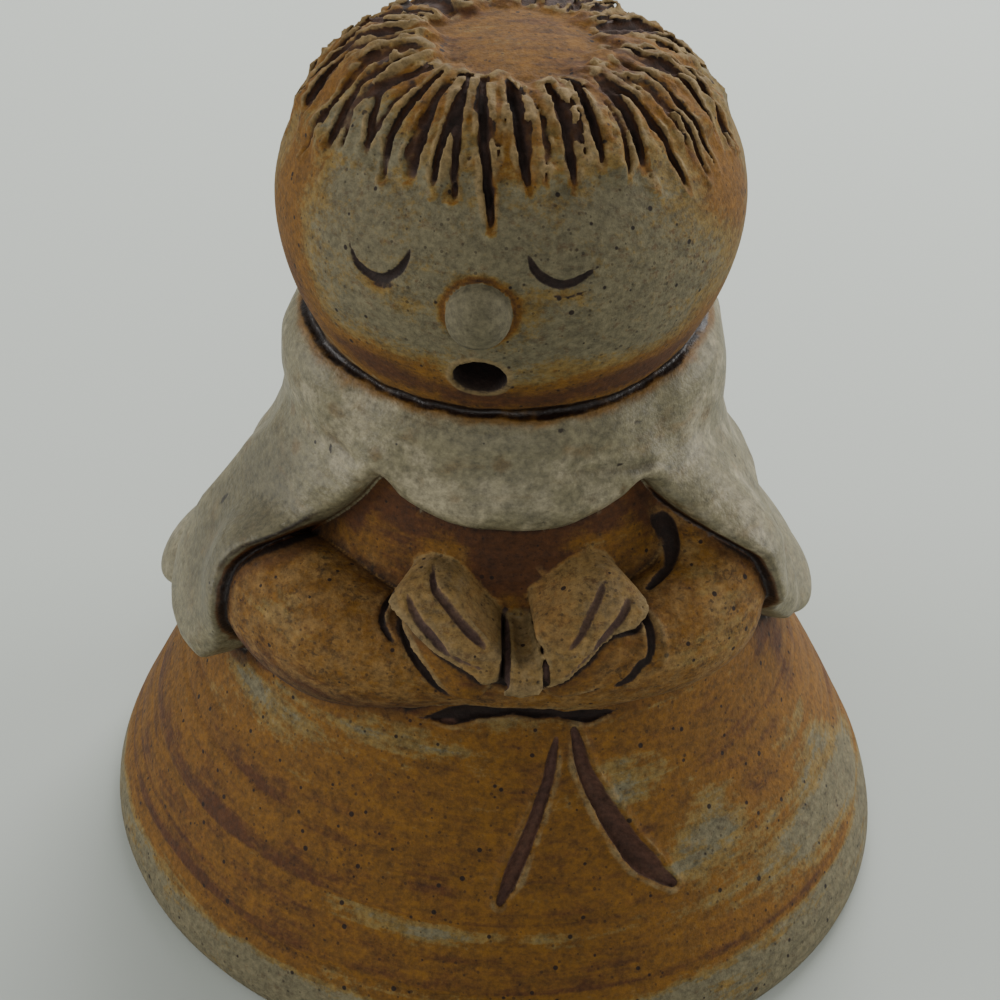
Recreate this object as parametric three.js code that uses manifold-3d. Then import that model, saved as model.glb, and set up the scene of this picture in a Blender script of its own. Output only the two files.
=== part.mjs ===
// A singing angel figurine in stoneware: a thrown bell body, a thrown round head with combed hair,
// a white mantle that ends in wing feathers, coil arms and two clay hands.
// Millimetres, +Z up, the face towards -Y, the origin at the centre of the foot ring's underside.
// Azimuths are degrees from the front, positive towards +X.
import * as THREE from 'three';
import { mergeVertices } from 'three/addons/utils/BufferGeometryUtils.js';
import Module from 'manifold-3d';

// Whole figure
const LEAN = 0.0146; // sideways lean to +X for each millimetre of height
const OVAL = 0.027; // the thrown body is out of round along its diagonals by this share
const OVAL_FADE = [62, 82]; // the oval dies out between these heights

// Thrown bell body: [height, outer radius]
const BODY_PROFILE = [[0, 52.0], [3, 52.3], [8, 51.2], [14, 48.5], [22, 44.4], [30, 39.8],
  [40, 35.2], [50, 31.1], [60, 27.7], [70, 25.0], [80, 23.1], [86, 22.3]];
const BODY_WALL = 5;
const BODY_TOP = 84;
const FOOT_ROUND = 0.9;

// Thrown head, a flattened ball: [height, outer radius]
const HEAD_PROFILE = [[78, 22.0], [80, 22.9], [84, 24.8], [88, 26.6], [92, 27.8], [96, 28.4],
  [100, 28.3], [104, 27.2], [107, 25.6], [110, 22.9], [112.5, 19.6], [114.5, 15.2], [116, 9.5]];
const HEAD_TOP = 116.4;
const HEAD_WALL = 5;
const NECK_BORE = 9;
const FACE_AZIMUTH = -7; // the head is turned a little to -X

// Hair: a clay cap cut all round with a tool
const CROWN_RADIUS = 9.5;
const CROWN_TOP = 116.9;
const HAIR_RISE = 2.9;
const HAIR_FULLER = 0.33; // the hair is thicker towards -X by this share
const HAIR_EDGE = 0.4; // share of that rise left at the fringe
const CUT_DEPTH = 1.8;
// The seven cuts over the brow: [azimuth at the crown, azimuth at the fringe, reach of the fringe]
const BROW_CUTS = [[-26, -19, 0.6], [-16, -4, 1.9], [-2, 6, 0.9], [15, 17, 0.0], [31, 28, -0.4],
  [43, 39, 0.3], [54, 50, 1.2]];
const SIDE_CUTS = 30; // the cuts round the rest of the head
const FRINGE_BROW = 23.2; // radius where the hair ends over the brow
const FRINGE_SIDE = 25.8; // and round the sides and back

// Face
const EYE_AZIMUTHS = [-32.5, 12.5];
const EYE_HEIGHTS = [102.6, 103.6];
const EYE_RADIUS = 3.7;
const EYE_GROOVE = 0.5;
const NOSE_RADIUS = 3.8;
const NOSE_HEIGHT = 97.6;
const MOUTH_RADIUS = 3.2;
const MOUTH_HEIGHT = 88.0;

// Mantle: hem height by azimuth, the same to both sides
const HEM = [[0, 66.2], [14, 66.6], [28, 68.2], [37, 69.6], [44, 65.2], [51, 61.4], [63, 56.4],
  [72, 54.0], [90, 54.0], [135, 53.0], [180, 52.0]];
const SHOULDER_RISE = 2.6; // how far the mantle rises beside the head
// How far the mantle stands proud of the body, at the front and at the sides: [share, millimetres]
// where the share runs from the collar to the hem
const FRONT_PROUD = [[0, 0.6], [0.12, 1.9], [0.4, 2.6], [0.75, 3.4], [0.93, 2.9], [1, 0.6]];
const SIDE_PROUD = [[0, 1.4], [0.12, 3.9], [0.26, 4.0], [0.5, 2.4], [0.75, 2.4], [0.93, 4.2], [1, 3.2]];
const MANTLE_SLIMMER = 0.5; // and by this much less at the collar towards +X
const DRAPE = 2.6; // over the arms its hem stands this much prouder
const DRAPE_AZIMUTH = 64;
const DRAPE_SPREAD = 13;

// Wing feathers, each a pad on the skirt: azimuth, height of the middle, half width and half
// length, how far its middle stands proud, its tilt, and its taper, the share by which it is
// thinner at its top and thicker at its tip
const FEATHERS = [
  { azimuth: -78, height: 45.4, width: 9.8, length: 14.6, proud: 8.0, tilt: 9, taper: 0.3 },
  { azimuth: -101, height: 44.6, width: 9.4, length: 12.6, proud: 6.4, tilt: -4, taper: 0.5 },
  { azimuth: -128, height: 43.5, width: 10.4, length: 14.5, proud: 5.2, tilt: -3, taper: 0.5 },
  { azimuth: -155, height: 42.0, width: 10.8, length: 16.0, proud: 5.2, tilt: -2, taper: 0.5 },
  { azimuth: 67, height: 51.4, width: 8.6, length: 9.0, proud: 6.8, tilt: -8, taper: 0.3 },
  { azimuth: 86, height: 46.6, width: 9.0, length: 11.0, proud: 5.6, tilt: -4, taper: 0.5 },
  { azimuth: 108, height: 44.6, width: 9.6, length: 12.6, proud: 4.6, tilt: 2, taper: 0.5 },
  { azimuth: 131, height: 43.5, width: 10.2, length: 14.5, proud: 4.8, tilt: 3, taper: 0.5 },
  { azimuth: 154, height: 42.0, width: 10.4, length: 16.0, proud: 5.0, tilt: 2, taper: 0.5 },
  { azimuth: 180, height: 41.0, width: 10.4, length: 16.5, proud: 5.0, tilt: 0, taper: 0.5 },
];
// Feathers and hands are pads pressed on the body
const PAD_SLOPE = 0.92; // height gained for each millimetre along the sloping body
const PAD_BLUNT = 0.86; // under 1 the outline is blunter than an ellipse
const PAD_SUNK = 2; // the back lies this deep under the body's surface

// Arms: [azimuth, height, radius of the coil] from the shoulder to the wrist
const ARM_LEFT = [[-84, 49.6, 4.4], [-75, 49.6, 5.8], [-65, 49.6, 7.8], [-52, 49.4, 9.2],
  [-37, 49.0, 8.9], [-24, 48.6, 7.9], [-12, 48.0, 6.4], [1, 47.6, 4.6]];
const ARM_RIGHT = [[49, 64, 4.6], [53, 59, 6.2], [54.5, 53.6, 7.8], [49, 50.6, 8.5], [38, 49.6, 8.5],
  [28, 49.1, 7.8], [19, 48.5, 6.4], [7, 47.6, 4.6]];
const SHOULDER_SUNK = 3.5; // the arm starts this deep under the body's surface
const ARM_PROUD = 0.6; // and then its middle runs this far above it

// Hands: two mitts that lean apart, and the fingers locked between them. Their tool lines run
// between two [across, up] places, as shares of the half width and half length
const HANDS = [
  { azimuth: -9.8, height: 57.2, width: 5.6, length: 9.0, proud: 10.4, tilt: 36, taper: 0.12,
    lines: [[[0.3, 0.8], [0.4, -0.45]], [[-0.3, 0.65], [-0.2, -0.2]], [[-0.75, 0], [-0.45, -0.75]]] },
  { azimuth: 16.2, height: 57.4, width: 5.8, length: 9.0, proud: 10.4, tilt: -33, taper: 0.12,
    lines: [[[-0.15, 0.8], [-0.25, -0.45]], [[0.4, 0.65], [0.25, -0.3]]] },
  { azimuth: 4.2, height: 53.6, width: 4.2, length: 5.0, proud: 11.4, tilt: 0, taper: 0.12,
    lines: [[[-0.5, 0.75], [-0.5, -0.75]], [[0.5, 0.75], [0.5, -0.75]]] },
];
const HAND_LINE = 0.62; // radius of the tool that scored the fingers
// The cuts at the cuffs, through [azimuth, height, distance above the body] places
const CUFF_LINES = [
  [[-23.5, 56.0, 4.4], [-21.5, 53.4, 8.1], [-20.0, 50.6, 8.6]],
  [[-18.0, 51.8, 8.1], [-13.4, 49.2, 7.7], [-8.6, 46.2, 6.2]],
  [[27.5, 56.4, 5.8], [27.3, 53.6, 8.6], [26.4, 50.6, 8.7]],
];

// The two scored lines of the gown below the hands: [azimuth, height] from the top down
const GOWN_LINES = [
  { route: [[12.0, 39.6], [9.7, 34.9], [7.2, 30.2], [2.9, 25.8], [1.0, 21.5]], radius: [0.7, 1.3] },
  { route: [[15.7, 42.0], [16.8, 37.1], [18.8, 32.6], [24.0, 25.6], [30.4, 20.5]], radius: [0.8, 1.6] },
];

// Colours of the clay
const CLAY_COLOUR = 0xa8814f;

const wasm = await Module();
wasm.setup();

const radians = THREE.MathUtils.degToRad;
const lerp = THREE.MathUtils.lerp;
const smoothstep = THREE.MathUtils.smoothstep;

// A smooth curve through [place, value] pairs
function through(pairs) {
  const places = pairs.map((pair) => pair[0]);
  const values = pairs.map((pair) => pair[1]);
  const spline = new THREE.CubicInterpolant(places, values, 1, [0]);
  return (place) => spline.evaluate(THREE.MathUtils.clamp(place, places[0], places.at(-1)))[0];
}

const bodyRadius = through(BODY_PROFILE);
const headRadius = through(HEAD_PROFILE);
const hemHeight = through(HEM);

// A repeatable uneven number between -1 and 1 for the marks of the hand
const uneven = (index, kind) => Math.sin(index * 12.9898 + kind * 4.1414);

// A point from its azimuth in degrees, its radius and its height
function polar(azimuth, radius, height) {
  const angle = radians(azimuth);
  return new THREE.Vector3(radius * Math.sin(angle), -radius * Math.cos(angle), height);
}

// A closed geometry turned round +Z from [radius, height] pairs, azimuth 0 at the front
function turned(profile, segments) {
  const points = profile.map(([radius, height]) => new THREE.Vector2(radius, height));
  return new THREE.LatheGeometry(points, segments).rotateX(Math.PI / 2);
}

// Move every vertex of a geometry by a rule
function reshape(geometry, rule) {
  const place = geometry.attributes.position;
  const point = new THREE.Vector3();
  for (let index = 0; index < place.count; index += 1) {
    point.fromBufferAttribute(place, index);
    const moved = rule(point);
    place.setXYZ(index, moved.x, moved.y, moved.z);
  }
  return geometry;
}

// A closed solid from a geometry whose shared vertices are merged
function solid(geometry) {
  geometry.deleteAttribute('normal');
  geometry.deleteAttribute('uv');
  const merged = mergeVertices(geometry, 1e-4);
  const corners = merged.index.array;
  const triangles = [];
  for (let start = 0; start < corners.length; start += 3) {
    const [a, b, c] = corners.slice(start, start + 3);
    if (a !== b && b !== c && c !== a) {
      triangles.push(a, b, c);
    }
  }
  return new wasm.Manifold(new wasm.Mesh({
    numProp: 3,
    vertProperties: new Float32Array(merged.attributes.position.array),
    triVerts: new Uint32Array(triangles),
  }));
}

// A round bar bent along a curve. Its section stands square to the curve, one side facing out
function bentBar(curve, radiusAt, around, along) {
  const bar = new THREE.CylinderGeometry(1, 1, 1, around, along);
  return reshape(bar, (point) => {
    const share = point.y + 0.5;
    const centre = curve.getPoint(share);
    const tangent = curve.getTangent(share);
    const outward = new THREE.Vector3(centre.x, centre.y, 0).normalize();
    const side = new THREE.Vector3().crossVectors(tangent, outward).normalize();
    const lift = new THREE.Vector3().crossVectors(side, tangent);
    const radius = radiusAt(share);
    return centre.addScaledVector(side, point.x * radius).addScaledVector(lift, point.z * radius);
  });
}

// A place on a pad pressed on the body. Across, up and out run from -1 to 1: the outline is a
// blunt ellipse on the sloping body, and the outside stands proud
function padPlace({ azimuth, height, width, length, proud, tilt, taper }, across, up, out) {
  const turn = radians(tilt);
  const blunt = (share) => Math.sign(share) * Math.abs(share) ** PAD_BLUNT;
  const aside = blunt(across) * width;
  const along = blunt(up) * length;
  const rise = along * Math.cos(turn) + aside * Math.sin(turn);
  const slip = aside * Math.cos(turn) - along * Math.sin(turn);
  const place = height + rise * PAD_SLOPE;
  const thick = ((proud + PAD_SUNK) / 2) * (1 - taper * up);
  const radius = bodyRadius(place) - PAD_SUNK + thick * (1 + out);
  return polar(azimuth + THREE.MathUtils.radToDeg(slip / bodyRadius(height)), radius, place);
}

function padGeometry(pad) {
  const ball = new THREE.SphereGeometry(1, 10, 6).rotateX(Math.PI / 2);
  return reshape(ball, (point) => {
    // Behind its rim a pad goes straight down into the body
    const rim = Math.hypot(point.x, point.y);
    const widen = point.z < -0.1 && rim > 0.1 ? 1 / rim : 1;
    return padPlace(pad, point.x * widen, point.y * widen, point.z);
  });
}

// A tool line across the outside of a pad
function padLineGeometry(pad, [start, end]) {
  const points = [0, 0.5, 1].map((share) => {
    const across = lerp(start[0], end[0], share);
    const up = lerp(start[1], end[1], share);
    return padPlace(pad, across, up, Math.sqrt(1 - across ** 2 - up ** 2));
  });
  return bentBar(new THREE.CatmullRomCurve3(points), () => HAND_LINE, 5, 4);
}

function bodyGeometry() {
  const profile = [[0, 0], [BODY_PROFILE[0][1] - FOOT_ROUND, 0]];
  for (const height of [1.2, 4.5, 9.5, 15, 21, 28, 36, 46, 58]) {
    profile.push([bodyRadius(height), height]);
  }
  profile.push([bodyRadius(BODY_TOP) - 2, BODY_TOP], [0, BODY_TOP]);
  return turned(profile, 48);
}

// The hollow runs from the open foot through the neck into the head
function hollowGeometry() {
  const profile = [[0, -2], [bodyRadius(0) - BODY_WALL, -2]];
  for (const height of [2, 16, 36, 70]) {
    profile.push([bodyRadius(height) - BODY_WALL, height]);
  }
  profile.push([NECK_BORE, 78], [NECK_BORE, 83]);
  for (const height of [88, 97, 105]) {
    profile.push([headRadius(height) - HEAD_WALL, height]);
  }
  profile.push([0, HEAD_TOP - HEAD_WALL]);
  return turned(profile, 16);
}

function headGeometry() {
  const profile = [[0, 77], [20, 77]];
  for (const height of [79, 83, 87, 91.5, 96, 100.5, 104.5, 108]) {
    profile.push([headRadius(height), height]);
  }
  profile.push([headRadius(112), 112], [0, HEAD_TOP - 2]);
  return turned(profile, 36);
}

// Every hair cut in order round the head: azimuths at crown and fringe, and the fringe's reach
function hairCuts() {
  const cuts = BROW_CUTS.map(([crown, fringe, reach]) => ({ crown, fringe, reach }));
  const first = BROW_CUTS[0][0] + 360;
  const last = BROW_CUTS.at(-1)[0];
  const step = (first - last) / (SIDE_CUTS + 1);
  for (let index = 1; index <= SIDE_CUTS; index += 1) {
    const crown = last + step * index + uneven(index, 1) * step * 0.16;
    const sweep = crown > 180 ? -7 : 5;
    cuts.push({ crown, fringe: crown + sweep * Math.abs(Math.sin(radians(crown))), reach: uneven(index, 2) });
  }
  return cuts;
}

// A cap whose columns follow the cuts: the bottom of a cut, then the two shoulders of its ridge
function hairGeometry() {
  const cuts = hairCuts();
  const columns = cuts.length * 3;
  const spread = [0, 0.34, 0.7];
  const skinHeight = through(HEAD_PROFILE.slice(5).map(([height, radius]) => [-radius, height]));
  const shares = [0.03, 0.15, 0.45, 0.8, 1.0];
  // The profile carries marks instead of heights: 0 for the outside, 1 and 2 for the inside
  const profile = [[0, 0], [1, 0], ...shares.map((share) => [1 + share, 0]), [1.99, 1], [0, 2]];
  const cap = turned(profile.reverse(), columns);
  return reshape(cap, (point) => {
    const radial = Math.hypot(point.x, point.y);
    const angle = (Math.atan2(point.x, -point.y) + 2 * Math.PI) % (2 * Math.PI);
    const column = Math.round((angle / (2 * Math.PI)) * columns) % columns;
    const cut = cuts[Math.floor(column / 3)];
    const next = cuts[(Math.floor(column / 3) + 1) % cuts.length];
    const turn = next === cuts[0] ? 360 : 0;
    const inCut = column % 3 === 0;
    const place = spread[column % 3];
    const share = THREE.MathUtils.clamp(radial - 1, 0, 1);
    const start = lerp(cut.crown, cut.fringe, share);
    const azimuth = lerp(start, lerp(next.crown, next.fringe, share) + turn, place);
    const front = Math.cos(radians(azimuth - 10));
    const fringe = lerp(FRINGE_SIDE, FRINGE_BROW, smoothstep(front, 0.1, 0.75));
    const reach = fringe + lerp(cut.reach, next.reach, place) + (inCut ? 0.4 : -0.2);
    const radius = radial < 1 ? radial * CROWN_RADIUS : lerp(CROWN_RADIUS, reach, share);
    if (point.z > 1.5) {
      return polar(0, 0, HEAD_TOP - 3);
    }
    if (point.z > 0.5) {
      return polar(azimuth, radius - 1.2, skinHeight(-radius) - 1.6);
    }
    const rim = smoothstep(radial, 1.0, 1.14);
    const fuller = 1 - HAIR_FULLER * Math.sin(radians(azimuth));
    const rise = HAIR_RISE * fuller * rim * lerp(1, HAIR_EDGE, smoothstep(share, 0.4, 1));
    const groove = inCut ? CUT_DEPTH * rim * (1 - 0.55 * smoothstep(share, 0.8, 1)) : 0;
    const ragged = inCut ? 0 : 0.3 * uneven(column + Math.round(share * 6), 3) * rim;
    const sideways = smoothstep(radius, 12, 25);
    const proud = rise - groove + ragged;
    const skin = Math.min(skinHeight(-radius), CROWN_TOP);
    return polar(azimuth, radius + proud * 0.9 * sideways, skin + proud * (1 - 0.6 * sideways));
  });
}

// The mantle is a ring of clay round the neck. Its section follows the body down to the hem
function mantleGeometry() {
  const shares = [0, 0.12, 0.3, 0.62, 0.92, 1];
  const frontProud = through(FRONT_PROUD);
  const sideProud = through(SIDE_PROUD);
  // The profile carries the number of the step as its height
  const inside = shares.length + 1;
  const profile = [[1, 0], ...shares.map((share, step) => [2 + share, 1 + step]), [1.5, inside], [1, 0]];
  return reshape(turned(profile.reverse(), 56), (point) => {
    const azimuth = THREE.MathUtils.radToDeg(Math.atan2(point.x, -point.y));
    const away = Math.abs(azimuth);
    const side = smoothstep(away, 36, 66) * (1 - 0.5 * smoothstep(away, 110, 180));
    const hem = hemHeight(away);
    const collar = 80.3 + SHOULDER_RISE * side;
    const step = Math.round(point.z);
    if (step === 0) {
      return polar(azimuth, 19, 77);
    }
    if (step === inside) {
      return polar(azimuth, bodyRadius(hem + 3) - 2.5, hem + 3);
    }
    const share = shares[step - 1];
    const height = lerp(collar, hem, share);
    const slim = azimuth > 0 ? MANTLE_SLIMMER * side * (1 - share) : 0;
    const overArm = Math.exp(-(((away - DRAPE_AZIMUTH) / DRAPE_SPREAD) ** 2));
    const drape = DRAPE * overArm * smoothstep(share, 0.5, 0.9);
    const proud = lerp(frontProud(share), sideProud(share), side) - slim + drape;
    return polar(azimuth, bodyRadius(height) + proud, height);
  });
}

// A tapered tool line that follows the body through [azimuth, height] places
function gownLineGeometry({ route, radius }) {
  const points = route.map(([azimuth, height]) => polar(azimuth, bodyRadius(height), height));
  const taper = (share) => lerp(radius[0], radius[1], share) * Math.sin(Math.PI * lerp(0.14, 0.8, share));
  return bentBar(new THREE.CatmullRomCurve3(points), taper, 5, 8);
}

function cuffLineGeometry(route) {
  const points = route.map(([azimuth, height, above]) => polar(azimuth, bodyRadius(height) + above, height));
  return bentBar(new THREE.CatmullRomCurve3(points), () => HAND_LINE, 5, 4);
}

function armGeometry(stations) {
  const points = stations.map(([azimuth, height], index) => {
    const proud = lerp(-SHOULDER_SUNK, ARM_PROUD, Math.min(index / 2, 1));
    return polar(azimuth, bodyRadius(height) + proud, height);
  });
  const curve = new THREE.CatmullRomCurve3(points);
  const radii = through(stations.map((station, index) => [index / (stations.length - 1), station[2]]));
  return bentBar(curve, radii, 10, 11);
}

// A closed eye: the lower half of a ring pressed into the clay
function eyeGeometry(azimuth, height) {
  const points = [];
  for (let angle = 185; angle <= 360; angle += 35) {
    const across = EYE_RADIUS * Math.cos(radians(angle));
    const up = EYE_RADIUS * Math.sin(radians(angle));
    const place = height + up;
    const radius = headRadius(place);
    points.push(polar(azimuth + THREE.MathUtils.radToDeg(across / radius), radius, place));
  }
  const curve = new THREE.CatmullRomCurve3(points);
  return bentBar(curve, (share) => EYE_GROOVE * (0.7 + 0.5 * share), 5, 9);
}

function noseGeometry() {
  const centre = polar(FACE_AZIMUTH, headRadius(NOSE_HEIGHT) + 0.6, NOSE_HEIGHT);
  return new THREE.SphereGeometry(NOSE_RADIUS, 12, 8).translate(centre.x, centre.y, centre.z);
}

// The mouth is bored square to the sloping chin
function mouthGeometry() {
  const outside = polar(FACE_AZIMUTH, 32, MOUTH_HEIGHT - 2.2);
  const inside = polar(FACE_AZIMUTH, 12, MOUTH_HEIGHT + 5.2);
  const curve = new THREE.LineCurve3(outside, inside);
  return bentBar(curve, () => MOUTH_RADIUS, 12, 1);
}

// The maker's lean and the out-of-round body, given to the finished figure
function handBuilt(point) {
  const angle = Math.atan2(point.x, -point.y);
  const fade = 1 - smoothstep(point.z, OVAL_FADE[0], OVAL_FADE[1]);
  const swell = 1 + OVAL * Math.sin(2 * angle) * fade;
  return new THREE.Vector3(point.x * swell + LEAN * point.z, point.y * swell, point.z);
}

function figurineGeometry() {
  let clay = solid(bodyGeometry()).add(solid(headGeometry())).add(solid(hairGeometry()));
  clay = clay.add(solid(mantleGeometry())).add(solid(noseGeometry()));
  for (const feather of FEATHERS) {
    clay = clay.add(solid(padGeometry(feather)));
  }
  clay = clay.add(solid(armGeometry(ARM_LEFT))).add(solid(armGeometry(ARM_RIGHT)));
  for (const hand of HANDS) {
    clay = clay.add(solid(padGeometry(hand)));
  }
  const lines = HANDS.flatMap((hand) => hand.lines.map((line) => padLineGeometry(hand, line)));
  lines.push(...CUFF_LINES.map(cuffLineGeometry), ...GOWN_LINES.map(gownLineGeometry));
  for (const line of lines) {
    clay = clay.subtract(solid(line));
  }
  EYE_AZIMUTHS.forEach((azimuth, eye) => {
    clay = clay.subtract(solid(eyeGeometry(azimuth, EYE_HEIGHTS[eye])));
  });
  clay = clay.subtract(solid(mouthGeometry())).subtract(solid(hollowGeometry()));
  const mesh = clay.getMesh();
  const geometry = new THREE.BufferGeometry();
  geometry.setAttribute('position', new THREE.BufferAttribute(mesh.vertProperties, 3));
  geometry.setIndex(new THREE.BufferAttribute(mesh.triVerts, 1));
  reshape(geometry, handBuilt);
  geometry.computeVertexNormals();
  return geometry;
}

const clayMaterial = new THREE.MeshStandardMaterial({ color: CLAY_COLOUR, roughness: 0.75, metalness: 0 });
const angel = new THREE.Mesh(figurineGeometry(), clayMaterial);
angel.name = 'angel_figurine';

const figurine = new THREE.Group();
figurine.add(angel);
export default figurine;
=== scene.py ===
import math

import bpy
import numpy as np
import openvdb
from mathutils import Matrix, Vector


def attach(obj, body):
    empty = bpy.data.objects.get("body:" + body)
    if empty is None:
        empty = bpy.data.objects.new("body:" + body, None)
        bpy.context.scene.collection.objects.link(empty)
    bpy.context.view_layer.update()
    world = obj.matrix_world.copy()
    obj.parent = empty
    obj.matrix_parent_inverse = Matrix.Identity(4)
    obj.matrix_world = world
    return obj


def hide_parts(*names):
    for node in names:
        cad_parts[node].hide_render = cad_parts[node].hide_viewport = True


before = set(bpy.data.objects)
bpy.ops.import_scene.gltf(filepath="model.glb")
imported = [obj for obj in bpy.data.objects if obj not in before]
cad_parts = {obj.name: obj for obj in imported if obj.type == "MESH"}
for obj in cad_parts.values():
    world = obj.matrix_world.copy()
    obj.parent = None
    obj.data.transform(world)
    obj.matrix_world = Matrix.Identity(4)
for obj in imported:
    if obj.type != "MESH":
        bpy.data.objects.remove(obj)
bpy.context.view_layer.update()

# The gown: a bell of speckled stoneware thrown on the wheel, about 5 mm thick and open below.
# The figurine is one fired body, so every form is added to one block of clay, kept as the distance
# to the clay's skin in thin level slices. Millimetres; azimuth 0 is the front, positive to +X.
GRAIN = 0.36  # size of a cell of the block
BLOCK_HALF = 54.0
BLOCK_LOW = -1.5
BLOCK_HIGH = 122.0
BODY_PROFILE = [(0, 52.0), (3, 52.3), (8, 51.2), (14, 48.5), (22, 44.4), (30, 39.8), (40, 35.2),
                (50, 31.1), (60, 27.7), (70, 25.0), (80, 23.1), (86, 22.3)]
BODY_WALL = 5.0
BODY_TOP = 84.0
FOOT_ROUND = 1.2
BODY_WAVE = 0.16  # how far the thrown wall wavers, in waves so wide and this much flatter
BODY_WAVE_SIZE = 14
BODY_WAVE_FLAT = 2.5
# The throwing rings: the height and the bite of the finger, and how much they climb on one side
RING_HEIGHTS = [(4.6, 0.30), (8.4, 0.26), (11.0, 0.46), (13.6, 0.26), (16.2, 0.24), (19.2, 0.40),
                (22.6, 0.24), (26.2, 0.34), (29.4, 0.24), (33.4, 0.28), (38.0, 0.24)]
RING_SLANT = 0.9
FINGER = 1.6  # the finger is this many times as thick as its bite
EMPTY = 9.0  # the distance kept where no clay is near
WAVES = 48  # the size of the lattice of random waves

across = np.arange(-BLOCK_HALF, BLOCK_HALF + GRAIN, GRAIN)
heights = np.arange(BLOCK_LOW, BLOCK_HIGH, GRAIN)
east, north = np.meshgrid(across, across, indexing="ij")
radius = np.hypot(east, north)
azimuth = np.degrees(np.arctan2(east, -north))
away = np.abs(azimuth)
clay = np.full((heights.size, across.size, across.size), EMPTY, np.float32)
uncut = np.full_like(clay, EMPTY)  # the clay before any tool cut it
corner = np.array([-BLOCK_HALF, -BLOCK_HALF, BLOCK_LOW])
reach = np.arange(0.0, BLOCK_HALF * 1.45, 0.25)
lattice = np.random.default_rng(11).uniform(-1, 1, (WAVES, WAVES, WAVES)).astype(np.float32)


def through(pairs):
    """A smooth curve through (place, value) pairs."""
    places, values = np.array(pairs, float).T
    slopes = np.gradient(values, places)

    def value(at):
        at = np.clip(at, places[0], places[-1])
        first = np.clip(np.searchsorted(places, at) - 1, 0, len(places) - 2)
        step = places[first + 1] - places[first]
        t = (at - places[first]) / step
        near = (1 + 2 * t) * (1 - t) ** 2 * values[first] + t * (1 - t) ** 2 * step * slopes[first]
        return near + t * t * (3 - 2 * t) * values[first + 1] + t * t * (t - 1) * step * slopes[first + 1]

    return value


def eased(value, low, high):
    """A soft step from 0 at low to 1 at high."""
    share = np.clip((value - low) / (high - low), 0, 1)
    return share * share * (3 - 2 * share)


def wavering(x, y, z, size):
    """A soft random wave between -1 and 1 whose bumps are about size apart, at one height z."""
    fx, fy, fz = x / size, y / size, z / size
    level = math.floor(fz)
    rest = eased(fz - level, 0, 1)
    sheet = lattice[:, :, level % WAVES] * (1 - rest) + lattice[:, :, (level + 1) % WAVES] * rest
    ix, iy = np.floor(fx).astype(int), np.floor(fy).astype(int)
    tx, ty = eased(fx - ix, 0, 1), eased(fy - iy, 0, 1)
    ix, iy = ix % WAVES, iy % WAVES
    jx, jy = (ix + 1) % WAVES, (iy + 1) % WAVES
    front = sheet[ix, iy] * (1 - tx) + sheet[jx, iy] * tx
    back = sheet[ix, jy] * (1 - tx) + sheet[jx, jy] * tx
    return front * (1 - ty) + back * ty


def luted(skin, form, soft):
    """Joins a form to the clay. soft is how wide the joint is smoothed over."""
    mix = np.clip(0.5 + 0.5 * (skin - form) / soft, 0, 1)
    return skin + (form - skin) * mix - soft * mix * (1 - mix)


def trimmed(skin, tool, soft):
    """Keeps the clay that is outside the tool."""
    return -luted(-skin, tool, soft)


def both(one, other, soft):
    """Where two forms overlap, with a rounded edge."""
    return -luted(-one, -other, soft)


def slices(low, high):
    """The level slices between two heights."""
    return range(*np.searchsorted(heights, [low, high]))


def turned(contour):
    """Distance to a form turned on the wheel, for each height and each radius in reach. The
    contour is the outside of its section, from the axis below to the axis above."""
    start = np.array(contour[:-1], float)
    end = np.array(contour[1:], float)
    along = end - start
    squared = (along ** 2).sum(1)
    table = np.empty((heights.size, reach.size), np.float32)
    for k, z in enumerate(heights):
        place = np.stack([reach, np.full_like(reach, z)], 1)[:, None]
        share = np.clip(((place - start) * along).sum(2) / squared, 0, 1)
        gap = place - start - along * share[..., None]
        distance = np.hypot(gap[..., 0], gap[..., 1]).min(1)
        crossing = (start[:, 1] > z) != (end[:, 1] > z)
        at = start[:, 0] + along[:, 0] * (z - start[:, 1]) / np.where(along[:, 1] == 0, 1, along[:, 1])
        inside = (crossing & (reach[:, None] < at)).sum(1) % 2 == 1
        table[k] = np.where(inside, -distance, distance)
    return table


body_radius = through(BODY_PROFILE)
foot = [(body_radius(0) - FOOT_ROUND * (1 - math.cos(a)), FOOT_ROUND * (1 - math.sin(a)))
        for a in np.radians([90, 67, 45, 22, 0])]
contour = [(0, 0)] + foot + [(float(body_radius(z)), z) for z in np.arange(2, BODY_TOP, 1.0)]
bell = turned(contour + [(float(body_radius(BODY_TOP)) - 2, BODY_TOP), (0, BODY_TOP)])
for k in slices(BLOCK_LOW, BODY_TOP + 6):
    wave = BODY_WAVE * wavering(east, north, heights[k] * BODY_WAVE_FLAT, BODY_WAVE_SIZE)
    clay[k] = np.interp(radius, reach, bell[k]) + wave * eased(heights[k], 0.5, 6)


def link(tree, source, socket):
    """Joins a value or another node's output to a socket."""
    if isinstance(source, bpy.types.NodeSocket):
        tree.links.new(source, socket)
    else:
        socket.default_value = source


def node(tree, kind, sockets=None, **settings):
    """Adds a node with its settings and with what goes into its sockets."""
    made = tree.nodes.new(kind)
    for name, value in settings.items():
        setattr(made, name, value)
    for name, source in (sockets or {}).items():
        link(tree, source, made.inputs[name])
    return made


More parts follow.
